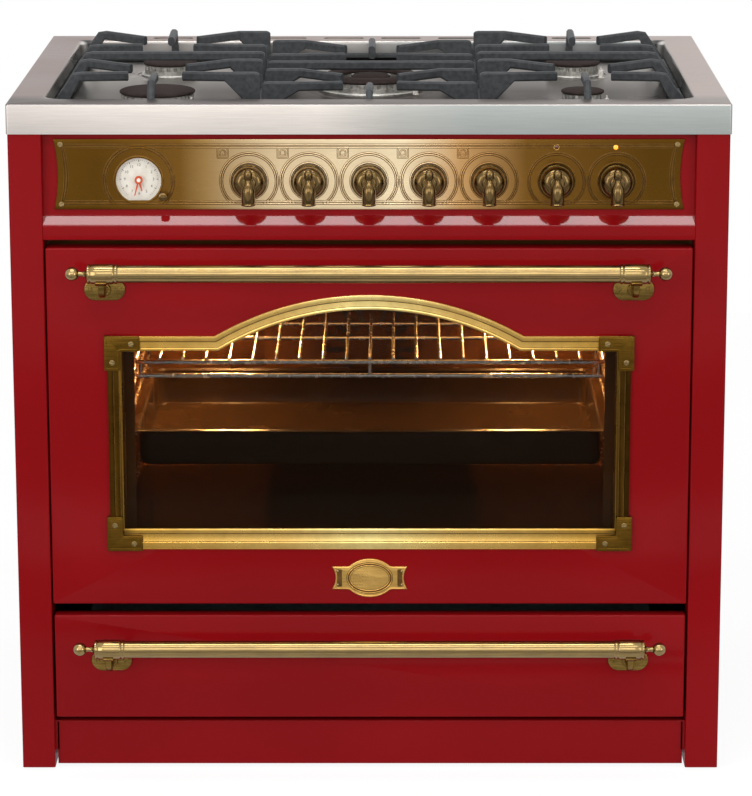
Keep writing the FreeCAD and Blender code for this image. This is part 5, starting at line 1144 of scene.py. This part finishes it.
def bracket(axis_d, axis_z):
    """Handle bracket: oval base with two screws and a strap that curves forward and up to the collar."""
    x, drop, length, height, thick = 332.0, 30.0, 52.0, 28.0, 4.0
    strap, wide, collar = 7.0, 8.0, 25.3 / 2
    base_z, flat = axis_z - drop, (length - height) / 2
    base = np.concatenate((arc(x + flat, base_z, height / 2, -90, 90, 12),
                           arc(x - flat, base_z, height / 2, 90, 270, 12)))
    turn_z, bend = axis_z - collar, drop - collar
    outer, inner = bend + strap / 2, bend - strap / 2
    curve = np.concatenate((
        [(axis_d - strap / 2, turn_z + 2)], arc(axis_d + bend, turn_z, outer, 180, 270, 12),
        [(-thick, base_z - strap / 2), (-thick, base_z + strap / 2)],
        arc(axis_d + bend, turn_z, inner, 270, 180, 12), [(axis_d + strap / 2, turn_z + 2)]))
    saddle = np.concatenate((arc(axis_d, axis_z, collar + 2.4, 222, 318, 16),
                             arc(axis_d, axis_z, collar + 0.35, 318, 222, 16)))
    boss = [(-9.0, 0), (-9.0, 6.6), (-8.0, 7.6), (-thick, 8.4), (-thick + 0.6, 0)]
    shapes = [slab(base, -thick, 0, DEEP, 1.4), slab(curve, x - wide / 2, x + wide / 2, ACROSS, 1.6),
              slab(saddle, x - 7, x + 7, ACROSS, 0.7), lathe(boss, (x, 0, base_z), DEEP, 32)]
    aside = 19.0
    screws = [slotted_screw(x + side * aside, base_z, -thick, 7.0, 1.5, 60 * side + 20) for side in (-1, 1)]
    return merged(shapes + screws)


def make_handles():
    """Door and drawer handles on their brackets."""
    for word in ("door", "drawer"):
        _, axis_d, axis_z = middle(word + "_handle_bar")
        brackets = merged(both_sides(bracket(axis_d, axis_z)))
        add(word + "_bar", [(POLISHED, handle_bar(axis_d, axis_z))], word,
            [word + "_handle_bar"])
        add(word + "_brackets", [(BRACKET_BRASS, brackets)], word,
            [word + "_handle_brackets"])


make_door_skin()
make_window_frame()
make_corners()
make_door_screws()
make_badge()
make_handles()


# Oven inside

def make_ladders():
    """Chrome ladders: uprights, pairs of runners and wall stubs of round wire."""
    low, high = span("shelf_ladders")
    upright, runner, stub, pair, levels = 6.0, 5.0, 14.0, 17.0, 6
    x, front_d, rear_d = high[0] - stub, low[1] + upright / 2, high[1] - upright / 2
    bottom, top = low[2], high[2]
    wires = []
    for d in (front_d, rear_d):
        wires.append(wire((x, d, bottom), (x, d, top), upright))
        wires += [wire((x, d, z), (x + stub, d, z), runner) for z in (bottom + 10, top - 10)]
    for level in range(levels):
        z = bottom + (top - bottom) / levels * (level + 0.5)
        wires += [wire((x, front_d, z + up), (x, rear_d, z + up), runner) for up in (0, pair)]
    add("chrome_ladders", [(CHROME, merged(both_sides(merged(wires))))], "body",
        ["shelf_ladders"])


def make_rack():
    """Wire rack: frame, cross wires, long wires from front to back and a lowered front lip."""
    low, high = span("wire_rack")
    dia, middling, thin = 6.0, 5.0, 4.0
    rim = filleted(plan_of(low, high, dia / 2), 8.0, 4)
    x1, d0, d1 = high[0] - dia / 2, low[1] + dia / 2, high[1] - dia / 2
    top, lip = high[2] - thin / 2, low[2] + dia / 2
    z, inner = top - 4.2, x1 - 11
    shapes = [swept(standing(rim, z, TALL), circle(0, 0, dia / 2, 12), closed=True)]
    for share in (0.38, 0.62):
        d = d0 + (d1 - d0) * share
        shapes.append(wire((-x1, d, z), (x1, d, z), middling))
    shapes += [wire((x, d0, top), (x, d1, top), thin, 10) for x in np.linspace(-inner, inner, 21)]
    shapes.append(wire((-inner, d0, lip), (inner, d0, lip), dia))
    shapes += [wire((x, d0, lip), (x, d0, z), middling) for x in (dia - inner, 0, inner - dia)]
    add("chrome_rack", [(CHROME, merged(shapes))], "body", ["wire_rack"])


def make_tray():
    """Deep tray: rings of rounded rectangles from the floor up the outside to the rolled rim, and back
    down inside; each row is how far in, the corner's radius and the level under the rim."""
    low, high = span("deep_tray")
    rim, corner, wall = 12.0, 14.0, 1.2
    foot = low[2] - high[2]
    rows = [(rim + 8, corner + 4, foot), (rim + 2, corner, foot + 2), (rim, corner, foot + 8),
            (rim, corner, -3.5), (rim - 2, corner, -wall), (1, corner, -wall), (0, corner, -wall / 2),
            (1, corner, 0), (rim - 1, corner, 0), (rim + 1.2, corner, -2.5), (rim + wall, corner, -6),
            (rim + wall, corner, foot + 10), (rim + 4, corner, foot + 3),
            (rim + 10, corner + 4, foot + wall)]
    rings = [standing(filleted(plan_of(low, high, inward), radius, 6), high[2] + level, TALL)
             for inward, radius, level in rows]
    add("enamel_tray", [(DARK, grid(np.array(rings), caps=True))], "body", ["deep_tray"])


make_ladders()
make_rack()
make_tray()


# Hob: heights of its basin's floor, of its border and of the burner caps; burners as (X, depth, diameter)

floor_z = span("pan_support_left")[0][2]
hob_z = span("hob_top")[1][2]
crown_z = span("burner_caps")[0][2]
burner_x, near_row, far_row = 275.0, 180.0, 430.0
burners = [(-burner_x, near_row, 98.0), (-burner_x, far_row, 73.0), (burner_x, far_row, 74.0),
           (burner_x, near_row, 56.0)]
wok = (0.0, (near_row + far_row) / 2, 133.0)


def plug_place(x, d, dia):
    """Spark plug beside a burner, in front of it and to its right."""
    reach, turn = dia / 2 + 11.0, math.radians(40)
    return x + reach * math.cos(turn), d - reach * math.sin(turn)


def make_hob():
    """Hob tray: rings from under the basin out to the skirt's foot, over the rounded rim and the flat
    border and down a soft shoulder into the basin, with slots, burner holes and an outlet cut through."""
    low, high = span("hob_top")
    skirt, shoulder, foot = 38.0, 5.0, 9.0
    band = hob_z - skirt
    outer, inner = matched(filleted(plan_of(low, high), 3.0, 4), filleted(rectangle(*basin), 28.0, 10),
                           np.array((0.0, 300.0)))
    lines = [(inner, 12, floor_z - sheet), (inner, 2 - sheet, floor_z + 6),
             (inner, -sheet, hob_z - 2 * sheet), (outer, sheet, hob_z - sheet), (outer, sheet, band),
             (outer, 0, band)]
    lines += [(outer, inward, hob_z - down) for down, inward in quarter(fold, 5)]
    lines += [(inner, 2 - inward, hob_z - down) for inward, down in quarter(shoulder, 5)]
    lines += [(inner, 3 + inward, floor_z + up) for up, inward in quarter(foot, 6)]
    rows = [standing(inset(line, inward), level, TALL) for line, inward, level in lines]
    past = 10.0
    cutters = []
    for burner in (*burners, wok):
        for x, d, radius, steps in ((*burner[:2], 15.3, 48), (*plug_place(*burner), 3.8, 24)):
            cutters.append(slab(circle(x, d, radius, steps), floor_z - past, floor_z + past, TALL))
    slots, slot, deep, pitch, centre = 10, 56.0, 17.0, 80.0, 576.0
    for count in range(slots):
        x = (count - (slots - 1) / 2) * pitch
        plan = rectangle(x - slot / 2, x + slot / 2, centre - deep / 2, centre + deep / 2)
        cutters.append(slab(filleted(plan, 8.0, 6), hob_z - past / 2, hob_z + past / 2, TALL))
    outlet = 14.0
    cutters.append(box(-320, 320, 596.0, 606.0, hob_z - sheet - outlet, hob_z - sheet))
    dishes = []
    for x, d, dia in (*burners, wok):
        dish = [(-1, 8), (1.4, 8), (1.8, 10), (1.6, 13), (0.6, 17), (-0.2, 20), (-1, 20)]
        dishes.append(lathe([(floor_z + up, dia / 2 + out) for up, out in dish], (x, d, 0), TALL, 72,
                            closed=True))
    tray = carved(grid(np.array(rows), caps=True), cutters)
    add("steel_hob", [(STEEL, merged([tray] + dishes))], "body", ["hob_top"])


def crown(x, d, dia, pitch=9.0):
    """Burner crown whose wall is notched at every port: its radius drops by a smooth square wave."""
    low, high, half, notch, lip = floor_z + 3, crown_z, dia / 2, 2.4, 0.6
    port_low, port_high = crown_z - 6, crown_z - 2
    count = int(math.pi * dia / pitch)
    steps = count * 8
    angles = np.arange(steps) * 2 * math.pi / steps
    wave = np.clip(0.5 + 2.2 * (np.cos(count * angles) - 0.55), 0, 1)
    rows = [(low, 0, 0), (low, half, 0), (port_low - lip, half, 0), (port_low, half, 1),
            (port_high, half, 1), (port_high + lip, half, 0), (high - lip, half, 0), (high, half - lip, 0),
            (high, 0, 0)]
    rings = []
    for z, radius, share in rows:
        reach = radius - notch * wave * share
        flat = x + reach * np.cos(angles), d + reach * np.sin(angles)
        rings.append(np.stack((*flat, np.full(steps, z)), axis=-1))
    return grid(np.array(rings))


def domed(level, rise, radius, start):
    """Top of a cap from a share of its radius to its middle: the height falls with the share squared."""
    return [(level + rise * (1 - share ** 2), radius * share) for share in np.linspace(start, 0, 8)]


def foot_of(half):
    """Profile of a burner's foot: its neck under the basin and its flange on the basin's floor."""
    return [(floor_z - 20, 0), (floor_z - 20, 15), (floor_z, 15), (floor_z, half + 3),
            (floor_z + 2.6, half + 3), (floor_z + 4, half + 1.6), (floor_z + 4, 0)]


def make_wok(x, d, dia):
    """Bodies and caps of the wok burner: an outer ring round a small inner burner, joined by clips."""
    half, inner_half, hole = dia / 2, 26.0, 40.3
    ring_wall = carved(crown(x, d, dia - 4),
                       [slab(circle(x, d, hole, 64), floor_z + 3.8, crown_z + 5, TALL)])
    clip = box(x + inner_half + 1.0, x + inner_half + 9.0, d - 3.2, d + 3.2, floor_z + 4, crown_z + 1.5,
               0.8)
    bodies = [lathe(foot_of(half), (x, d, 0), TALL, 96), ring_wall, crown(x, d, 48.0)]
    bodies += [turned(clip, math.radians(turn), np.array((x, d, 0)), TALL) for turn in (45, 135, 225, 315)]
    ring_cap = [(crown_z, hole), (crown_z, half - 1.2), (crown_z + 0.8, half - 0.3),
                (crown_z + 2.4, half - 0.1), (crown_z + 5.2, half - 5.4), (crown_z + 6.0, half - 7.0),
                (crown_z + 6.0, 44.4), (crown_z + 5.2, 42.6), (crown_z + 3.0, 40.5)]
    cap = [(crown_z, 0), (crown_z, inner_half - 1.2), (crown_z + 1.4, inner_half),
           (crown_z + 3.0, inner_half - 0.6)] + domed(crown_z + 3.6, 2.4, inner_half, 0.88)
    return bodies, [lathe(ring_cap, (x, d, 0), TALL, 96, closed=True), lathe(cap, (x, d, 0), TALL, 48)]


def make_burners():
    """Alloy burner bodies with notched crowns, enamelled caps and spark plugs."""
    bodies, caps = make_wok(*wok)
    for x, d, dia in burners:
        half = dia / 2
        bodies += [lathe(foot_of(half), (x, d, 0), TALL, 64), crown(x, d, dia - 4)]
        cap = [(crown_z, 0), (crown_z, half - 1.4), (crown_z + 0.6, half - 0.4), (crown_z + 2.2, half),
               (crown_z + 3.0, half - 0.5), (crown_z + 3.8, half - 2.2)]
        caps.append(lathe(cap + domed(crown_z + 3.8, 2.2, half - 3, 0.9), (x, d, 0), TALL, 64))
    plug = [(floor_z - 10, 0), (floor_z - 10, 3.5), (floor_z, 3.5), (floor_z, 4.4), (floor_z + 2, 4.4),
            (floor_z + 2.2, 3.5), (crown_z - 5, 3.4), (crown_z - 4, 2.4), (crown_z - 4, 1.0),
            (crown_z - 0.4, 1.0), (crown_z, 0.6), (crown_z, 0)]
    plugs = [lathe(plug, (*plug_place(*burner), 0), TALL, 24) for burner in (*burners, wok)]
    add("burner_bases", [(ALLOY, merged(bodies))], "body", ["burner_bodies"])
    add("burner_lids", [(CAP, merged(caps))], "body", ["burner_caps"])
    add("igniters", [(CERAMIC, merged(plugs))], "body", ["spark_plugs"])


def blade(plan, tops, bottoms, width, chamfer=2.4):
    """Cast bar along a plan path: at each distance its top and underside follow (distance, height)
    lines, and its section is a rectangle with chamfered corners."""
    plan = np.array(plan, float)
    run = np.round(np.concatenate(([0], np.cumsum(np.linalg.norm(np.diff(plan, axis=0), axis=1)))), 3)
    tops, bottoms = np.array(tops, float), np.array(bottoms, float)
    stations = np.unique(np.round(np.concatenate((run, tops[:, 0], bottoms[:, 0])), 3))
    stations = stations[(stations >= 0) & (stations <= run[-1])]
    line = np.stack([np.interp(stations, run, plan[:, i]) for i in (0, 1)], axis=1)
    step = np.diff(line, axis=0)
    step /= np.linalg.norm(step, axis=1, keepdims=True)
    ahead = np.concatenate((step, step[-1:]))
    tangent = ahead + np.concatenate((step[:1], step))
    tangent /= np.linalg.norm(tangent, axis=1, keepdims=True)
    side = np.stack((tangent[:, 1], -tangent[:, 0]), axis=1)
    side /= np.sum(tangent * ahead, axis=1, keepdims=True)
    high = np.interp(stations, tops[:, 0], tops[:, 1])
    low = np.interp(stations, bottoms[:, 0], bottoms[:, 1])
    half = width / 2
    section = [(-half, 0, chamfer), (-half, 1, -chamfer), (chamfer - half, 1, 0), (half - chamfer, 1, 0),
               (half, 1, -chamfer), (half, 0, chamfer), (half - chamfer, 0, 0), (chamfer - half, 0, 0)]
    columns = []
    for out, at_top, shift in section:
        flat = line + side * out
        level = (high if at_top else low) + shift
        columns.append(np.column_stack((flat, level)))
    return grid(np.stack(columns, axis=1), caps=True)


# Pan supports: depths of their fingers, and the sizes of their bars and rails

support_rows = (125.0, 238.0, 370.0, 499.0)
bar, bar_tall, rail_tall, rail_clear = 9.0, 12.0, 7.0, 6.0
climb = 30.0


def finger_lines(is_open, corner, low, top):
    """Top and underside of a finger from its side rail to where it bends, as (distance, height) pairs:
    it climbs from an open rail in a curve, and stands on a closed one with a gusset under it."""
    rail_top, under = low + rail_tall, top - bar_tall
    if is_open:
        return ([(0, rail_top), (climb * 0.55, rail_top + (top - rail_top) * 0.62),
                 (climb * 0.85, top - 1.6), (climb + 6, top), (corner, top)],
                [(0, low), (16, low), (climb + bar_tall / 3, under), (corner, under)])
    foot, gusset = 12.0, 62.0
    bottoms = [(0, low), (foot, low), (gusset, under), (gusset + 1, under)]
    return ([(0, top - 3), (2.5, top - 0.8), (6, top), (corner, top)],
            [place for place in bottoms if place[0] < corner] + [(corner, under)])


def support_shape(box_low, box_high, centre, left_open, right_open):
    """Cast pan support: rails on feet, a cross bar, and fingers that climb, run level and dip to a tip."""
    left, near, _ = box_low
    right, far, top = box_high
    low = floor_z + rail_clear
    rail_top, under = low + rail_tall, top - bar_tall
    kink, tip, drop, lean = 92.0, 36.0, 3.0, 0.45
    shapes = []
    for x0, way, is_open in ((left, 1, left_open), (right, -1, right_open)):
        width = 16.0 if is_open else 8.0
        x = x0 + way * width / 2
        shapes.append(blade([(x, near), (x, far)], [(0, rail_top)], [(0, low)], width, 1.6))
    for d in (near + 4, far - 4):
        ends = [(left + 1, d), (right - 1, d)]
        shapes.append(blade(ends, [(0, rail_top - 0.5)], [(0, low + 0.5)], 8.0, 1.6))
    foot, margin = 12.0, 0.4
    for x0 in (left + margin, right - foot - margin):
        for d0 in (near + margin, far - foot - margin):
            shapes.append(box(x0, x0 + foot, d0, d0 + foot, floor_z, rail_top + 0.6, 1.6))
    across = []
    for row in (*support_rows, wok[1]):
        for wall, is_open in ((left, left_open), (right, right_open)):
            way = 1 if wall < centre else -1
            reach = abs(wall - centre)
            corner = reach - min(kink, reach - 2 * bar)
            tops, bottoms = finger_lines(is_open, corner, low, top)
            if row == wok[1]:
                across.append((tops, bottoms))
                continue
            bend = np.array((wall + way * corner, row))
            burner = near_row if abs(near_row - row) < abs(far_row - row) else far_row
            end = np.array((centre - way * tip, row + (burner - row) * lean))
            last = corner + np.linalg.norm(end - bend)
            shapes.append(blade([(wall + way, row), bend, end], tops + [(last, top - drop)],
                                bottoms + [(last, under - drop)], bar))
    length = right - left - 2
    tops, bottoms = [start + [(length - at, level) for at, level in reversed(end)]
                     for start, end in zip(*across)]
    shapes.append(blade([(left + 1, wok[1]), (right - 1, wok[1])], tops, bottoms, bar))
    for start, way in ((near, 1), (far, -1)):
        length = 96.0
        plan = [(centre, start + way), (centre, start + way * length)]
        tops = [(0, rail_top), (climb * 0.85, top - 1.6), (climb + 6, top), (length, top - drop)]
        bottoms = [(0, low), (16, low), (climb + 4, under), (length, under - drop)]
        shapes.append(blade(plan, tops, bottoms, bar))
    return merged(shapes)


def make_supports():
    """Left, middle and right pan supports, each on its own body; the outer sides are open."""
    for word, centre in (("left", -burner_x), ("middle", 0.0), ("right", burner_x)):
        node = "pan_support_" + word
        shape = support_shape(*span(node), centre, word == "left", word == "right")
        add("grate_" + word, [(IRON, shape)], "support_" + word, [node], 20.0)


make_hob()
make_burners()
make_supports()


# Nodes that keep their own shape get their finish

kept = {
    ZINC: ["back_panel", "carcass_steelwork", "levelling_feet", "drawer_box", "drawer_runners",
           "door_hinge_pins"],
    CAVITY: ["oven_cavity", "fan_cover"],
    LINER: ["door_inner_frame"],
    RUBBER: ["door_seal"],
    ELEMENT: ["heating_elements", "fan_wheel"],
    LAMP: ["oven_lamp"],
    GLASS: ["door_outer_glass", "door_inner_glass"],
    VALVE: ["control_valves", "gas_rail"] + ["tap_spindle_%d" % number for number in range(1, 6)],
    DIAL: ["clock_dial"],
    HAND: ["minute_hand", "hour_hand"],
}
for finish, names in kept.items():
    for name in names:
        node = frame["nodes"][name]
        node.data.materials.clear()
        node.data.materials.append(finish)


# Lights, floor and camera

def lamp(name, place, aim, size, power, colour=(1, 1, 1)):
    """Soft rectangular studio lamp turned towards a point."""
    data = bpy.data.lights.new(name, type="AREA")
    data.shape = "RECTANGLE"
    data.size, data.size_y = size
    data.energy = power
    data.color = colour
    holder = bpy.data.objects.new(name, data)
    bpy.context.scene.collection.objects.link(holder)
    direction = np.array(aim, float) - np.array(place, float)
    holder.location = place
    holder.rotation_euler = Vector(direction).to_track_quat("-Z", "Y").to_euler()
    holder.visible_camera = False


def make_lights():
    """Two softboxes, a wide fill and a higher strip in front, a strip overhead, a dim panel behind, and
    warm lamps in the oven."""
    lamp("left_softbox", (-2.4, -3.2, 1.4), (0, 0, 0.5), (1.4, 2.0), 30)
    lamp("right_softbox", (2.7, -2.9, 1.3), (0, 0, 0.5), (1.2, 1.8), 20)
    lamp("front_fill", (0, -5.2, 2.6), (0, 0, 0.6), (4.4, 2.0), 60)
    lamp("upper_fill", (0, -2.5, 3.4), (0, -0.3, 0.6), (4.0, 0.6), 30)
    lamp("overhead", (-0.2, -0.77, 3.2), (-0.2, -0.3, 0.7), (2.2, 0.5), 26)
    lamp("backdrop", (0, 2.6, 1.5), (0, 0, 1.0), (6.0, 3.0), 8)
    amber = (1.0, 0.48, 0.14)
    lamp("oven_light_right", (0.2, 0.1, 0.625), (0.34, -0.1, 0.42), (0.07, 0.05), 10.0, amber)
    lamp("oven_light_left", (-0.2, 0.1, 0.625), (-0.34, -0.12, 0.42), (0.07, 0.05), 11.0, amber)
    lamp("oven_glow", (0.0, -0.12, 0.62), (0.0, -0.1, 0.3), (0.5, 0.16), 0.6, amber)


def seen_directly(make, join):
    """One for camera, mirror and see-through rays, nought for the rest."""
    paths = make("ShaderNodeLightPath")
    total = paths.outputs["Is Camera Ray"]
    for word in ("Is Glossy Ray", "Is Transmission Ray"):
        more = make("ShaderNodeMath", operation="MAXIMUM")
        join(total, more.inputs[0])
        join(paths.outputs[word], more.inputs[1])
        total = more.outputs[0]
    return total


def studio_world():
    """White to the camera and to mirror rays, softer grey to everything else."""
    world = bpy.data.worlds.new("studio")
    bpy.context.scene.world = world
    world.use_nodes = True
    nodes, links = world.node_tree.nodes, world.node_tree.links

    def make(kind, **values):
        """A node of the world with attributes set by name."""
        made = nodes.new(kind)
        for name, value in values.items():
            setattr(made, name, value)
        return made

    soft = nodes["Background"]
    soft.inputs["Color"].default_value = (0.9, 0.9, 0.9, 1)
    soft.inputs["Strength"].default_value = 0.36
    white = nodes.new("ShaderNodeBackground")
    white.inputs["Color"].default_value = (1, 1, 1, 1)
    mix = nodes.new("ShaderNodeMixShader")
    links.new(seen_directly(make, links.new), mix.inputs[0])
    links.new(soft.outputs[0], mix.inputs[1])
    links.new(white.outputs[0], mix.inputs[2])
    links.new(mix.outputs[0], nodes["World Output"].inputs[0])


def make_floor():
    """Pale floor that reads white to the camera and still keeps a soft shadow."""
    reach, behind = 12.0, 2.4
    mesh = bpy.data.meshes.new("floor")
    mesh.from_pydata([(-reach, -reach, 0), (reach, -reach, 0), (reach, behind, 0), (-reach, behind, 0)], [],
                     [(0, 1, 2, 3)])
    floor = bpy.data.objects.new("floor", mesh)
    bpy.context.scene.collection.objects.link(floor)
    made = Finish("floor_paint")
    made.colour(made.ramp(made.noise(0.5), [(0.3, (0.78, 0.78, 0.78, 1)), (0.7, (0.82, 0.82, 0.82, 1))]))
    made.shader.inputs["Roughness"].default_value = 0.8
    shine = made.node("ShaderNodeEmission", Strength=1.1)
    apart = made.node("ShaderNodeSeparateXYZ")
    made.join(made.place, apart.inputs[0])
    # To mirror rays only, the floor shows painted dark bands across its depth, which the metal shows as
    # dark reflections
    cards = [(0.5, 1.0), (0.56, 0.95), (0.6, 0.1), (0.73, 0.08), (0.76, 1.0), (0.79, 1.0), (0.812, 0.06),
             (0.845, 0.06), (0.88, 0.7), (1.0, 0.7)]
    tone = made.ramp(made.between(apart.outputs["Y"], 0.0, 1.0, -6.0, 0.0),
                     [(at, (grey, grey, grey, 1)) for at, grey in cards])
    paths = made.node("ShaderNodeLightPath")
    made.join(made.mix(paths.outputs["Is Glossy Ray"], (1.0, 1.0, 1.0, 1.0), tone), shine.inputs["Color"])
    share = made.node("ShaderNodeMath", operation="MULTIPLY")
    share.inputs[1].default_value = 0.82
    made.join(seen_directly(made.node, made.join), share.inputs[0])
    mix = made.node("ShaderNodeMixShader")
    made.join(share.outputs[0], mix.inputs[0])
    made.join(made.shader.outputs[0], mix.inputs[1])
    made.join(shine.outputs[0], mix.inputs[2])
    made.join(mix.outputs[0], made.tree.nodes["Material Output"].inputs[0])
    mesh.materials.append(made.material)


def make_camera():
    """Camera at the photograph's place, with a small shift."""
    height = 796
    focal = 3384.5
    pitch = 0.2187
    data = bpy.data.cameras.new("camera")
    data.sensor_width = 36.0
    data.lens = data.sensor_width * focal / height
    data.shift_x = -0.0292
    data.shift_y = -0.125
    camera = bpy.data.objects.new("camera", data)
    bpy.context.scene.collection.objects.link(camera)
    camera.location = (0.0378, -4.4333, 1.5486)
    camera.rotation_euler = (math.pi / 2 - pitch, 0, 0)
    bpy.context.scene.camera = camera


make_lights()
studio_world()
make_floor()
make_camera()
bpy.context.scene.view_settings.view_transform = "Standard"


def corners(bounds):
    """Two corners as plain lists."""
    return [[float(value) for value in corner] for corner in bounds]
